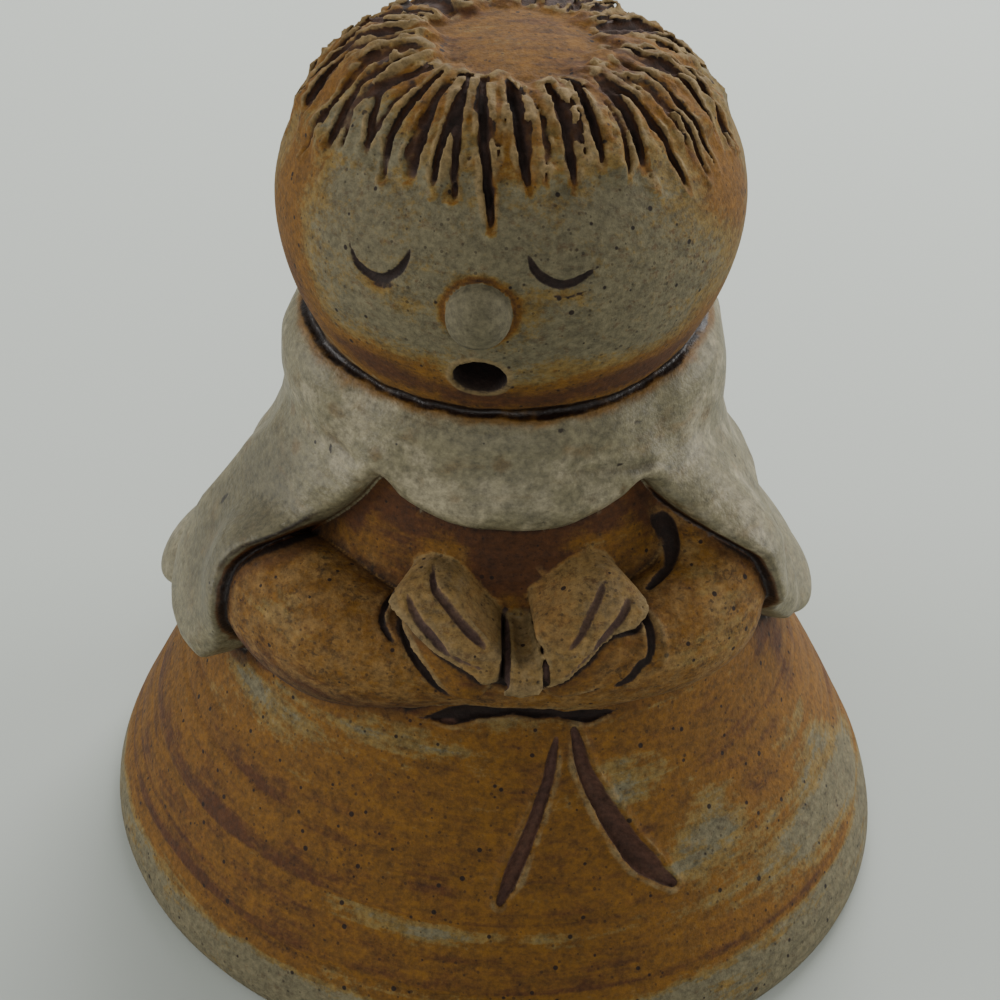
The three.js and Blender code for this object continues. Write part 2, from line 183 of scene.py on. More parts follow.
# This tree draws a tool or a coil along its guides: each guide is a line of the input mesh, and
# its attribute "bite" is the tool's size at each point. The tool is an oval that can stand taller
# than it is wide, and its skin is roughened, as wet clay drags.
drawn = bpy.data.node_groups.new("Drawn along a guide", "GeometryNodeTree")
drawn.interface.new_socket("Guides", in_out="INPUT", socket_type="NodeSocketGeometry")
for name, kind, value in (("Sides", "NodeSocketInt", 12), ("Spacing", "NodeSocketFloat", 0.8),
                          ("Tool width", "NodeSocketFloat", 1.0), ("Tool height", "NodeSocketFloat", 1.0),
                          ("Tool lift", "NodeSocketFloat", 0.0), ("Drag", "NodeSocketFloat", 0.0),
                          ("Drag size", "NodeSocketFloat", 1.4), ("Seed", "NodeSocketInt", 3),
                          ("Clay", "NodeSocketMaterial", None)):
    made = drawn.interface.new_socket(name, in_out="INPUT", socket_type=kind)
    if value is not None:
        made.default_value = value
drawn.interface.new_socket("Drawn", in_out="OUTPUT", socket_type="NodeSocketGeometry")
given = node(drawn, "NodeGroupInput").outputs
guide = node(drawn, "GeometryNodeMeshToCurve", {"Mesh": given["Guides"]}).outputs["Curve"]
guide = node(drawn, "GeometryNodeCurveSplineType", {"Curve": guide},
             spline_type="CATMULL_ROM").outputs["Curve"]
guide = node(drawn, "GeometryNodeResampleCurve", {"Curve": guide, "Length": given["Spacing"]},
             mode="LENGTH").outputs["Curve"]
guide = node(drawn, "GeometryNodeSetCurveNormal", {"Curve": guide}, mode="Z_UP").outputs["Curve"]
bite = node(drawn, "GeometryNodeInputNamedAttribute", {"Name": "bite"},
            data_type="FLOAT").outputs["Attribute"]
guide = node(drawn, "GeometryNodeSetCurveRadius", {"Curve": guide, "Radius": bite}).outputs["Curve"]
ring = node(drawn, "GeometryNodeCurvePrimitiveCircle", {"Resolution": given["Sides"], "Radius": 1.0})
oval = node(drawn, "ShaderNodeCombineXYZ", {"X": given["Tool width"], "Y": given["Tool height"], "Z": 1.0})
lift = node(drawn, "ShaderNodeCombineXYZ", {"X": 0.0, "Y": given["Tool lift"], "Z": 0.0})
shape = node(drawn, "GeometryNodeTransform", {"Geometry": ring.outputs["Curve"], "Scale": oval.outputs[0],
                                              "Translation": lift.outputs[0]})
sweep = node(drawn, "GeometryNodeCurveToMesh", {"Curve": guide, "Profile Curve": shape.outputs["Geometry"],
                                                "Fill Caps": True})
if "Scale" in sweep.inputs:
    link(drawn, bite, sweep.inputs["Scale"])
place = node(drawn, "GeometryNodeInputPosition").outputs[0]
bumps = node(drawn, "ShaderNodeCombineXYZ", dict.fromkeys("XYZ", given["Drag size"])).outputs[0]
spread = node(drawn, "ShaderNodeVectorMath", {0: place, 1: bumps}, operation="DIVIDE").outputs[0]
grain = node(drawn, "ShaderNodeTexNoise", {"Vector": spread, "W": given["Seed"], "Scale": 1.0, "Detail": 2.0},
             noise_dimensions="4D").outputs["Color"]
shift = node(drawn, "ShaderNodeVectorMath", {0: grain, 1: (0.5, 0.5, 0.5)}, operation="SUBTRACT").outputs[0]
shift = node(drawn, "ShaderNodeVectorMath", {0: shift, "Scale": given["Drag"]}, operation="SCALE").outputs[0]
rough = node(drawn, "GeometryNodeSetPosition", {"Geometry": sweep.outputs["Mesh"], "Offset": shift})
solid = node(drawn, "GeometryNodeRealizeInstances", {"Geometry": rough.outputs["Geometry"]})
finished = node(drawn, "GeometryNodeSetMaterial", {"Geometry": solid.outputs["Geometry"],
                                                   "Material": given["Clay"]})
node(drawn, "NodeGroupOutput", {"Drawn": finished.outputs["Geometry"]})
sockets = {item.name: item.identifier for item in drawn.interface.items_tree if item.in_out == "INPUT"}
wet_clay = bpy.data.materials.new("wet_clay")


def placed(name, data):
    """A new object in the scene."""
    made = bpy.data.objects.new(name, data)
    bpy.context.scene.collection.objects.link(made)
    return made


def noted(mesh, name, values):
    """Keeps one number for each corner of a mesh."""
    mesh.attributes.new(name, "FLOAT", "POINT").data.foreach_set("value", values)


def made_real(piece):
    """The mesh that a piece's modifier makes. The piece itself is taken out of the scene."""
    bpy.context.view_layer.update()
    made = bpy.data.meshes.new_from_object(piece.evaluated_get(bpy.context.evaluated_depsgraph_get()))
    bpy.data.objects.remove(piece)
    return made


def draw(guides, **sizes):
    """Runs the tree on guides, each a list of (x, y, z, bite), and returns corners and triangles."""
    mesh = bpy.data.meshes.new("guides")
    corners, edges = [], []
    for guide in guides:
        closed = guide[0] is guide[-1]
        points = guide[:-1] if closed else guide
        first = len(corners)
        edges += [(first + i, first + i + 1) for i in range(len(points) - 1)]
        if closed:
            edges.append((first + len(points) - 1, first))
        corners += [tuple(map(float, point)) for point in points]
    mesh.from_pydata([corner_at[:3] for corner_at in corners], edges, [])
    noted(mesh, "bite", [corner_at[3] for corner_at in corners])
    piece = placed("guides", mesh)
    modifier = piece.modifiers.new("Drawn", "NODES")
    modifier.node_group = drawn
    modifier[sockets["Clay"]] = wet_clay
    for name, value in sizes.items():
        modifier[sockets[name.replace("_", " ")]] = value
    made = made_real(piece)
    made.calc_loop_triangles()
    points = np.empty(len(made.vertices) * 3, np.float32)
    made.vertices.foreach_get("co", points)
    faces = np.empty(len(made.loop_triangles) * 3, np.int32)
    made.loop_triangles.foreach_get("vertices", faces)
    bpy.data.meshes.remove(made)
    return points.reshape(-1, 3), faces.reshape(-1, 3)


def felt(guides, width, **sizes):
    """The distance to what the tree draws on guides, within width of it, and the part of the block
    that this covers."""
    points, faces = draw(guides, **sizes)
    near = max(3.0, width / GRAIN)
    grid = openvdb.FloatGrid.createLevelSetFromPolygons(
        np.ascontiguousarray(points - corner, dtype=np.float32), triangles=faces,
        transform=openvdb.createLinearTransform(GRAIN), halfWidth=near)
    low, high = (np.array(edge) for edge in grid.evalActiveVoxelBoundingBox())
    low = np.maximum(low, 0)
    high = np.minimum(high, np.array([across.size, across.size, heights.size]) - 1)
    values = np.empty(tuple(high - low + 1), np.float32)
    grid.copyToArray(values, ijk=tuple(int(v) for v in low))
    part = (slice(low[2], high[2] + 1), slice(low[0], high[0] + 1), slice(low[1], high[1] + 1))
    return values.transpose(2, 0, 1), part


def polar(angle, reach_out, height):
    """The place at an azimuth, a distance from the axis and a height."""
    turn = math.radians(angle)
    return reach_out * math.sin(turn), -reach_out * math.cos(turn), height


# The throwing rings: shallow grooves that the potter's fingers left round the turning wall.
rings = []
for count, (height, bite_size) in enumerate(RING_HEIGHTS):
    loop = []
    for step in range(72):
        angle = step * 5.0
        level = height + RING_SLANT * math.sin(math.radians(angle + 140 * count))
        deep = 0.5 + 0.3 * math.sin(math.radians(2 * angle + 77 * count))
        out = float(body_radius(level)) + (1.7 - deep) * bite_size
        loop.append(polar(angle, out, level) + (bite_size,))
    rings.append(loop + [loop[0]])
tool, part = felt(rings, 1.6, Sides=8, Spacing=2.5, Tool_width=FINGER, Tool_height=FINGER, Drag=0.1,
                  Drag_size=6.0)
clay[part] = trimmed(clay[part], tool, 0.3)

# The head: a thrown hollow ball of the same clay, luted on the gown's neck and turned a little to
# one side.
HEAD_PROFILE = [(78, 22.0), (80, 22.9), (84, 24.8), (88, 26.6), (92, 27.8), (96, 28.4), (100, 28.3),
                (104, 27.2), (107, 25.6), (110, 22.9), (112.5, 19.6), (114.5, 15.2), (116, 9.5)]
HEAD_TOP = 116.8
HEAD_WAVE = 0.14
NECK_BORE = 9.0
HEAD_WALL = 5.0
FACE_AZIMUTH = -7.0
NECK_SOFT = 0.7

head_radius = through(HEAD_PROFILE)
contour = [(0, 77), (20, 77)] + [(float(head_radius(z)), z) for z in np.arange(78.5, 112, 0.75)]
contour += [(float(head_radius(z)), z) for z in np.arange(112, 115.9, 0.35)]
contour += [(9.5, 116.0), (6.0, 116.5), (3.0, 116.75), (0, HEAD_TOP)]
ball = turned(contour)
for k in slices(75, BLOCK_HIGH):
    form = np.interp(radius, reach, ball[k]) + HEAD_WAVE * wavering(east, north, heights[k], 11)
    clay[k] = luted(clay[k], form, NECK_SOFT)

# The hair: a cap of clay on the head, cut all round with a wire tool from a smooth crown down to a
# jagged fringe. Each cut pushes up a ragged burr to both sides.
CROWN_RADIUS = 9.5
HAIR_RISE = 2.9
HAIR_FULLER = 0.33  # thicker towards -X by this share
HAIR_EDGE = 0.42  # share of the rise left at the fringe
CROWN_RISE = 0.4  # and at the crown
CROWN_RAGGED = 1.3
FRINGE_BROW = 22.9
FRINGE_SIDE = 25.5
FRINGE_RAGGED = 0.8
TOOL_WIDTH = 0.78
TOOL_HEIGHT = 2.2
BURR = 0.6
TUFTS = 0.6  # how far the cap's skin is combed into tufts, and roughened
HAIR_ROUGH = 0.42
HAIR_FROM = 103  # there is no hair below this height
# The cuts over the brow: (azimuth, distance from the axis) places from the crown down, and the bite
BROW_CUTS = [
    ([(-27, 10.4), (-22.5, 14.5), (-19.6, 18), (-17.6, 21), (-15.6, 24.0)], 0.52),
    ([(-24, 14.4), (-23.6, 18), (-22, 24.2)], 0.56),
    ([(-19, 10.6), (-13, 15.2), (-10, 18.6), (-7, 22.3), (-5, 25.8)], 0.68),
    ([(-4, 10.8), (0, 14.5), (5, 23.6)], 0.78), ([(17, 11.2), (19, 14.6), (17, 23.4)], 0.64),
    ([(33, 9.6), (30, 15.5), (27, 21.4)], 0.60), ([(47, 11.8), (45, 17.3), (39, 23.0)], 0.66),
    ([(50, 12.6), (53, 18.4), (51, 25.8)], 0.62), ([(71, 11.6), (71, 17.8), (65, 25.9)], 0.50),
    ([(92, 14.5), (90, 20.7), (77, 26.4)], 0.46), ([(-34, 13.6), (-30, 20), (-29, 23.4)], 0.62),
    ([(-40, 12.0), (-42, 19), (-38, 24.0)], 0.62), ([(-49, 12.0), (-57, 16.5), (-43, 23.6)], 0.60),
    ([(-62, 11.5), (-66, 18), (-57, 25.9)], 0.56), ([(-75, 12.8), (-70, 20), (-71, 26.2)], 0.50),
    ([(-70, 11.2), (-76, 16), (-64, 25.6)], 0.40), ([(-50, 15.5), (-62, 19), (-52, 24.6)], 0.42),
    ([(-30, 11.5), (-34, 17), (-33.5, 22.8)], 0.34), ([(8, 12.5), (11, 17), (12, 21.0)], 0.24),
    ([(60, 14.0), (62, 19), (58, 24.5)], 0.34),
    ([(25, 13), (24, 17), (22, 20.8)], 0.24), ([(80, 13.0), (82, 18.6), (72, 25.4)], 0.40),
    ([(-45, 14.0), (-48, 18), (-46, 23.4)], 0.44), ([(-56, 14.5), (-60, 19), (-61, 25.0)], 0.44),
    ([(-82, 13.0), (-86, 18), (-78, 26.0)], 0.50), ([(40, 14.0), (40, 18), (33, 23.6)], 0.40),
    ([(62, 15.0), (65, 20), (60, 26.0)], 0.46), ([(85, 16.0), (86, 21), (82, 26.6)], 0.46),
]
SIDE_CUTS = 30  # the cuts round the rest of the head
FINE_CUTS = 130  # and thin scratches between them
SIDE_FROM, SIDE_TO = 99, 279

marks = np.random.default_rng(5)
cuts = [(np.array(path, float), bite_size) for path, bite_size in BROW_CUTS]
for count in range(SIDE_CUTS):
    turn = SIDE_FROM + (SIDE_TO - SIDE_FROM) * (count + marks.uniform(0.15, 0.85)) / SIDE_CUTS
    bow = 7 * math.sin(math.radians(turn)) + marks.uniform(-3, 3)
    cuts.append((np.array([(turn, marks.uniform(9.4, 11.5)), (turn + bow, 18),
                           (turn - bow * 0.4, marks.uniform(24.8, 26.6))]), marks.uniform(0.42, 0.66)))
for count in range(FINE_CUTS):
    turn = 360 * (count + marks.uniform(0, 1)) / FINE_CUTS
    start = marks.uniform(9.5, 18)
    bow = marks.uniform(-4, 4)
    cuts.append((np.array([(turn, start), (turn + bow, start + 3),
                           (turn + 1.5 * bow, start + marks.uniform(4, 8))]), marks.uniform(0.12, 0.21)))

top_heights = [(0.0, HEAD_TOP), (6.0, 116.5)] + [(r, z) for z, r in HEAD_PROFILE[:6:-1]]
skin_height = through(top_heights)


def fringe_at(turn):
    """The radius where the hair ends."""
    front = np.cos(np.radians(turn - 10))
    ragged = FRINGE_RAGGED * np.sin(np.radians(turn * 19)) * np.sin(np.radians(turn * 7.3 + 40))
    return FRINGE_SIDE + (FRINGE_BROW - FRINGE_SIDE) * eased(front, 0.1, 0.75) + ragged


def hair_rise(turn, reach_out):
    """How thick the cap of hair is."""
    fringe = fringe_at(turn)
    share = np.clip((reach_out - CROWN_RADIUS) / (fringe - CROWN_RADIUS), 0, 2)
    start = CROWN_RADIUS + CROWN_RAGGED * np.sin(np.radians(turn * 9)) * np.cos(np.radians(turn * 4 + 30))
    rim = CROWN_RISE + (1 - CROWN_RISE) * eased(reach_out, start - 1.0, start + 2.4)
    fuller = 1 - HAIR_FULLER * np.sin(np.radians(turn)) * eased(reach_out, 4, 12)
    thin = 1 + (HAIR_EDGE - 1) * eased(share, 0.35, 1.0)
    behind = 1 - 0.22 * eased(-np.cos(np.radians(turn)), -0.2, 0.8)
    return HAIR_RISE * fuller * behind * rim * thin * (1 - eased(share, 0.97, 1.04))


for k in slices(102, BLOCK_HIGH):
    z = heights[k]
    rise = hair_rise(azimuth, radius)
    along = wavering(azimuth * 0.22, radius * 0.12, z * 0.1, 1.0) * eased(radius, 8, 12)
    rough = wavering(east, north, z, 1.0) * eased(radius, 7, 10)
    tufts = TUFTS * along + HAIR_ROUGH * rough
    form = np.interp(radius, reach, ball[k]) - rise - tufts * eased(rise, 0.2, 1.2)
    clay[k] = luted(clay[k], form, 0.3)


def on_hair(path, bite_size, steps=12):
    """A guide on the cap of hair through (azimuth, distance) places."""
    shares = np.linspace(0, 1, len(path))
    line = []
    for share in np.linspace(0, 1, steps):
        turn, flat = np.interp(share, shares, path[:, 0]), np.interp(share, shares, path[:, 1])
        tilt = math.atan2(float(skin_height(flat - 0.4) - skin_height(flat + 0.4)), 0.8)
        ends = 0.4 * max(0.0, 1 - share / 0.1) + 1.1 * max(0.0, 1 - (1 - share) / 0.12)
        rise = float(hair_rise(turn, flat)) - 0.15 + ends
        taper = min(1.0, 0.5 + 2.0 * share, 0.45 + 3.4 * (1 - share))
        level = float(skin_height(flat)) + rise * math.cos(tilt)
        line.append(polar(turn, flat + rise * math.sin(tilt), level) + (bite_size * taper,))
    return line


def burred(part, tool, burr, width, ragged, bump, near):
    """The clay round a cut, with a ragged burr pushed up beside it."""
    block = clay[part]
    x, y = east[part[1:]], north[part[1:]]
    for row, k in enumerate(range(part[0].start, part[0].stop)):
        wave = 1 - ragged + ragged * wavering(x, y, heights[k], bump)
        lip = burr * wave * np.exp(-((tool[row] - width) / width) ** 2)
        block[row] -= lip * (np.abs(block[row]) < near)
    return block


combed, combed_part = felt([on_hair(path, bite_size) for path, bite_size in cuts], 1.5, Sides=10, Spacing=0.7,
                           Tool_width=TOOL_WIDTH, Tool_height=TOOL_HEIGHT, Drag=0.6, Drag_size=1.3)
uncut[combed_part] = clay[combed_part]
clay[combed_part] = trimmed(burred(combed_part, combed, BURR, 0.3, 0.5, 0.9, 1.6), combed, 0.12)

# The arms: two coils of clay, thick at the elbow and thin at the wrist, pressed on the gown. The
# right one is smoothed into the skirt below it.
# Their stations: (azimuth, height, size of the coil)
ARM_LEFT = [(-78, 50.0, 3.0), (-69, 49.6, 5.2), (-61, 49.2, 7.6), (-53, 49.0, 9.0), (-38, 48.8, 9.0),
            (-24, 49.1, 7.2), (-12, 49.5, 5.2), (0, 49.4, 4.2), (8, 49.2, 3.4)]
ARM_RIGHT = [(60, 53.6, 4.0), (54, 52.0, 7.0), (48, 51.2, 8.0), (38, 50.8, 7.8), (28, 50.4, 7.0),
             (19, 49.7, 5.9), (7, 49.3, 4.4), (-3, 49.2, 3.4)]
ARM_RIGHT_UPPER = [(50, 66.5, 3.4), (53.5, 61, 5.2), (55, 55.5, 6.8), (54, 52.0, 7.0)]
SHOULDER_SUNK = 3.5
ARM_PROUD = 1.1
SLEEVE_SOFT = 0.35  # how softly the sleeves are joined, and how much more the right one below
SKIRT_SOFT = 3.6

arms = np.full_like(clay, EMPTY)
for stations, sunk in ((ARM_LEFT, SHOULDER_SUNK), (ARM_RIGHT, 1.0), (ARM_RIGHT_UPPER, SHOULDER_SUNK)):
    coil = []
    for count, (turn, height, size) in enumerate(stations):
        out = -sunk + (ARM_PROUD + sunk) * min(count / 2, 1)
        coil.append(polar(turn, float(body_radius(height)) + out, height) + (size,))
    arm, part = felt([coil], 5.5, Sides=32, Spacing=1.0, Drag=0.25, Drag_size=5.0)
    arms[part] = luted(arms[part], arm, 2.5)
for k in slices(36, 74):
    smooth = SLEEVE_SOFT + SKIRT_SOFT * float(eased(-heights[k], -49, -42)) * eased(azimuth, 24, 50)
    clay[k] = luted(clay[k], arms[k], smooth)

# The mantle: a rolled sheet of clay wrapped round the neck, with a scooped front and two straps that
# hang over the arms. It is dipped in white satin glaze. Its feathers are thick pads that overlap.
HEM = [(0, 66.2), (14, 66.6), (28, 68.2), (37, 69.6), (44, 65.2), (51, 61.4), (63, 56.4), (72, 54.4),
       (90, 53.2), (104, 54.0), (118, 52.4), (132, 53.6), (147, 51.8), (162, 53.2), (180, 51.8)]
HEM_TURN = 1.8
COLLAR = 80.3
SHOULDER_RISE = 2.6
# How far the sheet stands out at each share of the way down, in front and at the sides
FRONT_PROUD = [(0, 0.8), (0.12, 1.9), (0.4, 2.6), (0.75, 3.3), (1, 3.0)]
SIDE_PROUD = [(0, 1.6), (0.12, 3.9), (0.26, 4.0), (0.5, 2.4), (0.75, 2.6), (0.93, 4.0), (1, 4.0)]
MANTLE_SLIMMER = 0.5
SHEET = 2.3  # thickness of the sheet where it lies on an arm
SHEET_SOFT = 3.0
LEANING = 0.92  # the wall leans: a level gap shrinks by this, and a rise along it grows
HEM_ROUND = 2.6
COLLAR_ROUND = 1.8
MANTLE_WAVE = 0.36
# The straps: the (azimuth, height) corners of their edge, and how far they stand out at each height
STRAPS = [
    ([(-40, 68), (-46, 64.4), (-52.5, 60.4), (-57, 57.8), (-58, 54.5), (-56.4, 50), (-58, 45), (-60.6, 40),
      (-65, 36.6), (-73, 35.4), (-81, 35.4), (-88, 36.8), (-94, 41), (-97, 48), (-96, 60), (-84, 68),
      (-60, 71)],
     [(36, 7.6), (44, 8.6), (50, 8.0), (58, 5.4), (68, 3.4)]),
    ([(42, 68), (45, 65.4), (50.5, 61.4), (53.5, 59), (54, 56), (54.4, 53), (60, 47.2), (66, 43.2),
      (70.5, 41), (75, 41.4), (78, 44.6), (80, 50), (81, 56), (80, 66), (60, 71)],
     [(41, 5.8), (48, 7.0), (54, 6.4), (60, 4.8), (68, 3.2)]),
]
STRAP_EDGE = 1.4
STRAP_SOFT = 2.4
# The feathers: (azimuth, height, half width, half length, how far it stands out, tilt, softness)
FEATHERS = [
    (-102, 40.6, 8.2, 9.4, 7.0, -4, 0.4), (-116, 42.8, 9.4, 12.4, 6.0, -4, 0.8),
    (-128, 43.5, 10.4, 14.5, 5.2, -3, 1.0), (-155, 42.0, 10.8, 16.0, 5.2, -2, 1.0),
    (87, 46.8, 9.2, 9.6, 5.0, -4, 0.3), (108, 44.6, 9.6, 12.6, 4.6, 2, 1.0),
    (131, 43.5, 10.2, 14.5, 4.8, 3, 1.0), (154, 42.0, 10.4, 16.0, 5.0, 2, 1.0),
    (180, 41.0, 10.4, 16.5, 5.0, 0, 1.0),
]
FEATHER_SUNK = 2.0
FEATHER_TAPER = 0.5
FEATHER_BLUNT = 2.33
FEATHER_EDGE = 1.8


def beside(turn_off):
    """How far round to the side an azimuth is: 0 in front, 1 at the arms and half of it behind."""
    return eased(turn_off, 36, 66) * (1 - 0.5 * eased(turn_off, 110, 180))


hem_height = through(HEM)
front_proud = through(FRONT_PROUD)
side_proud = through(SIDE_PROUD)
hem_line = hem_height(np.abs(azimuth - HEM_TURN))
side = beside(away)
collar_line = COLLAR + SHOULDER_RISE * side
mantle = np.full_like(clay, EMPTY)
for k in slices(46, 88):
    z = heights[k]
    share = np.clip((collar_line - z) / (collar_line - hem_line), 0, 1)
    proud = front_proud(share) * (1 - side) + side_proud(share) * side
    proud = proud - np.where(azimuth > 0, MANTLE_SLIMMER * side * (1 - share), 0)
    proud = proud + MANTLE_WAVE * wavering(east, north, z, 6)
    proud = proud + 0.4 * MANTLE_WAVE * wavering(east, north, z + 20, 2.6)
    face = luted((radius - body_radius(z) - proud) * 0.93, arms[k] - SHEET, SHEET_SOFT)
    form = both(face, (hem_line - z) * 0.85, HEM_ROUND)
    mantle[k] = both(form, z - collar_line - COLLAR_ROUND / 2, COLLAR_ROUND)


def window(middle, half):
    """The part of a slice that holds azimuths within half of the middle."""
    near = (np.abs((azimuth - middle + 180) % 360 - 180) < half) & (radius > 18)
    rows = np.flatnonzero(near.any(1))
    columns = np.flatnonzero(near.any(0))
    return slice(rows[0], rows[-1] + 1), slice(columns[0], columns[-1] + 1)


def press_feather(middle, height, width, length, proud, tilt, soft):
    """Presses a pad of clay on the mantle: a blunt oval with a rounded rim, thicker at its tip."""
    turn = math.radians(tilt)
    size = max(width, length)
    near = window(middle, math.degrees(size / 30) + 10)
    slip = (azimuth[near] - middle + 180) % 360 - 180
    slip = np.radians(slip) * float(body_radius(height))
    for k in slices(height - size - 5, height + size + 5):
        rise = (heights[k] - height) / LEANING
        aside = slip * math.cos(turn) + rise * math.sin(turn)
        along = rise * math.cos(turn) - slip * math.sin(turn)
        level = (np.abs(aside) / width) ** FEATHER_BLUNT + (np.abs(along) / length) ** FEATHER_BLUNT
        level = np.maximum(level ** (1 / FEATHER_BLUNT), 1e-3)
        rim = np.hypot(aside, along) * (1 - 1 / level) * 0.9
        thick = (proud + FEATHER_SUNK) / 2 * (1 - FEATHER_TAPER * np.clip(along / length, -1, 1))
        top = thick * (1 + np.clip(1 - level ** 2, 0, 1) ** 0.5) - FEATHER_SUNK
        face = (radius[near] - body_radius(heights[k]) - top) * LEANING
        face = luted(face, arms[k][near] - SHEET, SHEET_SOFT)
        mantle[k][near] = luted(mantle[k][near], both(rim, face, FEATHER_EDGE), soft)


def press_sheet(target, outline, proud, edge, soft, swell, over=None):
    """Presses a flat piece of clay with this outline on the body, or over another form; proud is how
    far it stands out at each height, and swell how much lower it is at its edge."""
    turns, levels = np.array(outline, float).T
    middle, flat_at = turns.mean(), float(body_radius(levels.mean())) + 8
    corner_s, corner_t = np.radians(turns) * flat_at, levels / LEANING
    next_s, next_t = np.roll(corner_s, -1), np.roll(corner_t, -1)
    near = window(middle, (turns.max() - turns.min()) / 2 + 9)
    s = np.radians((azimuth[near] - middle + 180) % 360 - 180 + middle) * flat_at
    for k in slices(levels.min() - 5, levels.max() + 5):
        t = heights[k] / LEANING
        gap, inside = np.full(s.shape, 1e6), np.zeros(s.shape, bool)
        for s0, t0, s1, t1 in zip(corner_s, corner_t, next_s, next_t):
            length = (s1 - s0) ** 2 + (t1 - t0) ** 2
            share = np.clip(((s - s0) * (s1 - s0) + (t - t0) * (t1 - t0)) / length, 0, 1)
            gap = np.minimum(gap, np.hypot(s - s0 - share * (s1 - s0), t - t0 - share * (t1 - t0)))
            if (t0 > t) != (t1 > t):
                inside ^= s < s0 + (s1 - s0) * (t - t0) / (t1 - t0)
        rim = np.where(inside, -gap, gap) + 0.7 * edge
        top = np.interp(heights[k], *np.array(proud, float).T) + swell * (eased(-rim, 0, 3) - 1)
        face = (radius[near] - body_radius(heights[k]) - top) * LEANING
        if over is not None:
            face = luted(face, over[k][near] - SHEET, SHEET_SOFT)
        target[k][near] = luted(target[k][near], both(rim, face, edge), soft)


for feather in FEATHERS:
    press_feather(*feather)
for outline, proud in STRAPS:
    press_sheet(mantle, outline, proud, STRAP_EDGE, STRAP_SOFT, 1.0, arms)
for k in slices(15, 90):
    clay[k] = luted(clay[k], mantle[k], 0.3)

# The hands: two mitts of clay that lean apart, with the locked fingers between them. The fingers,
# cuffs and eyes are scored with a pointed tool, which leaves a raised burr.
# Each piece: the (azimuth, height) corners of its edge, and how far it stands out at each height
HEELS = [
    ([(-23.8, 58.8), (-20.3, 55.8), (-16.6, 53.6), (-12.8, 51), (-8.4, 48.2), (-3.6, 48.3), (-1, 50.6),
      (0, 53), (-8, 56.5), (-16, 59.5)], [(47, 6.8), (50, 8.0), (54, 8.2), (58, 6.6)]),
    ([(28.4, 57.5), (28.2, 54.8), (25.2, 52.2), (23.6, 50.6), (20.1, 49.9), (16.1, 49.2), (10.8, 48.9),
      (8, 49.6), (7, 52.5), (14, 56), (22, 58.8)], [(47, 6.4), (50, 8.0), (54, 8.2), (58, 6.8)]),
]
MITTS = [
    ([(-23.6, 58.8), (-23.2, 60), (-21.4, 61), (-17.5, 61.7), (-12.7, 61.6), (-9, 60.6), (-5.4, 59),
      (-2.4, 57.6), (-0.3, 56.6), (0.9, 55.4), (0.8, 53.8), (0.4, 52.2), (-3, 51.4), (-5.2, 52.7),
      (-8.8, 53.9), (-12.6, 55), (-16.2, 56.3), (-18, 57), (-20, 57.6), (-22, 58.2)],
     [(51, 9.7), (56, 9.8), (58.5, 9.0), (60.5, 7.0), (63, 4.4)]),
    ([(7.8, 55.8), (5.8, 57.4), (6.6, 58.6), (12, 60.4), (17.9, 62), (22.6, 62.6), (26.2, 61.9),
      (28.6, 60.6), (29.8, 59.2), (28.6, 57.8), (25.8, 56.8), (21.2, 56.6), (18.5, 55.8), (15.7, 54),
      (13, 52.8), (10.4, 51.7), (7.1, 51.4)],
     [(51, 9.7), (56, 9.8), (58.5, 9.0), (60.5, 7.2), (63, 4.6)]),
    ([(0.7, 56), (3, 55.2), (4.4, 54.8), (5.9, 55.2), (7.8, 56.2), (8.4, 54.6), (7.6, 51.2), (3.5, 51),
      (0.1, 51.4)], [(51, 11.0), (55, 9.6), (57, 7.8)]),
]
HAND_EDGE = 0.5
HAND_SOFT = 0.2
HAND_SWELL = 0.8
# Paths of (azimuth, height) with the bite of the tool
HAND_LINES = [
    ([(-16.8, 61.5), (-12.3, 60.5), (-7.7, 58.9), (-4.5, 57.5), (-2.3, 56.5)], [0.4, 0.55, 0.58, 0.56, 0.4]),
    ([(-19.6, 60.3), (-13.2, 57.5), (-9.2, 55.4)], [0.4, 0.54, 0.5]),
    ([(-9.2, 55.4), (-5.2, 54.6), (-1.9, 54.3)], [0.34, 0.2, 0.14]),
    ([(22.0, 61.7), (17.0, 59.5), (11.9, 56.4)], [0.4, 0.5, 0.3]),
    ([(25.8, 60.3), (21.2, 58.2), (16.4, 55.6)], [0.5, 0.46, 0.34]),
    ([(16.4, 55.6), (13.5, 54.0), (11.0, 52.9)], [0.3, 0.18, 0.12]),
    ([(1.2, 56.2), (1.1, 53.8), (0.8, 51.0)], [0.5, 0.56, 0.5]),
    ([(7.6, 56.0), (8.3, 54.0), (7.9, 51.2)], [0.3, 0.36, 0.44]),
    ([(20.6, 56.8), (24, 56.4), (27.4, 56.0)], [0.42, 0.5, 0.46]),
    ([(-18.4, 56.6), (-16.6, 56.7), (-14.9, 56.1)], [0.3, 0.5, 0.24]),
    ([(-1.6, 51.2), (1.5, 50.6), (7.0, 50.4)], [0.34, 0.4, 0.2]),
]
CUFF_LINES = [
    ([(-26.3, 56.6), (-23.6, 55.4), (-20.4, 54.0)], [0.34, 0.4, 0.24]),
    ([(-20.4, 55.4), (-16.8, 53.4), (-12.9, 50.8), (-8.8, 47.6)], [0.24, 0.42, 0.42, 0.26]),
    ([(27.6, 59.0), (28.8, 56.2), (27.9, 53.8), (26.6, 52.2)], [0.3, 0.46, 0.42, 0.3]),
    ([(26.2, 53.2), (23.6, 50.9), (20.5, 49.9)], [0.4, 0.42, 0.2]),
    ([(13.0, 49.4), (16.0, 49.6), (19.0, 50.1)], [0.14, 0.24, 0.14]),
]
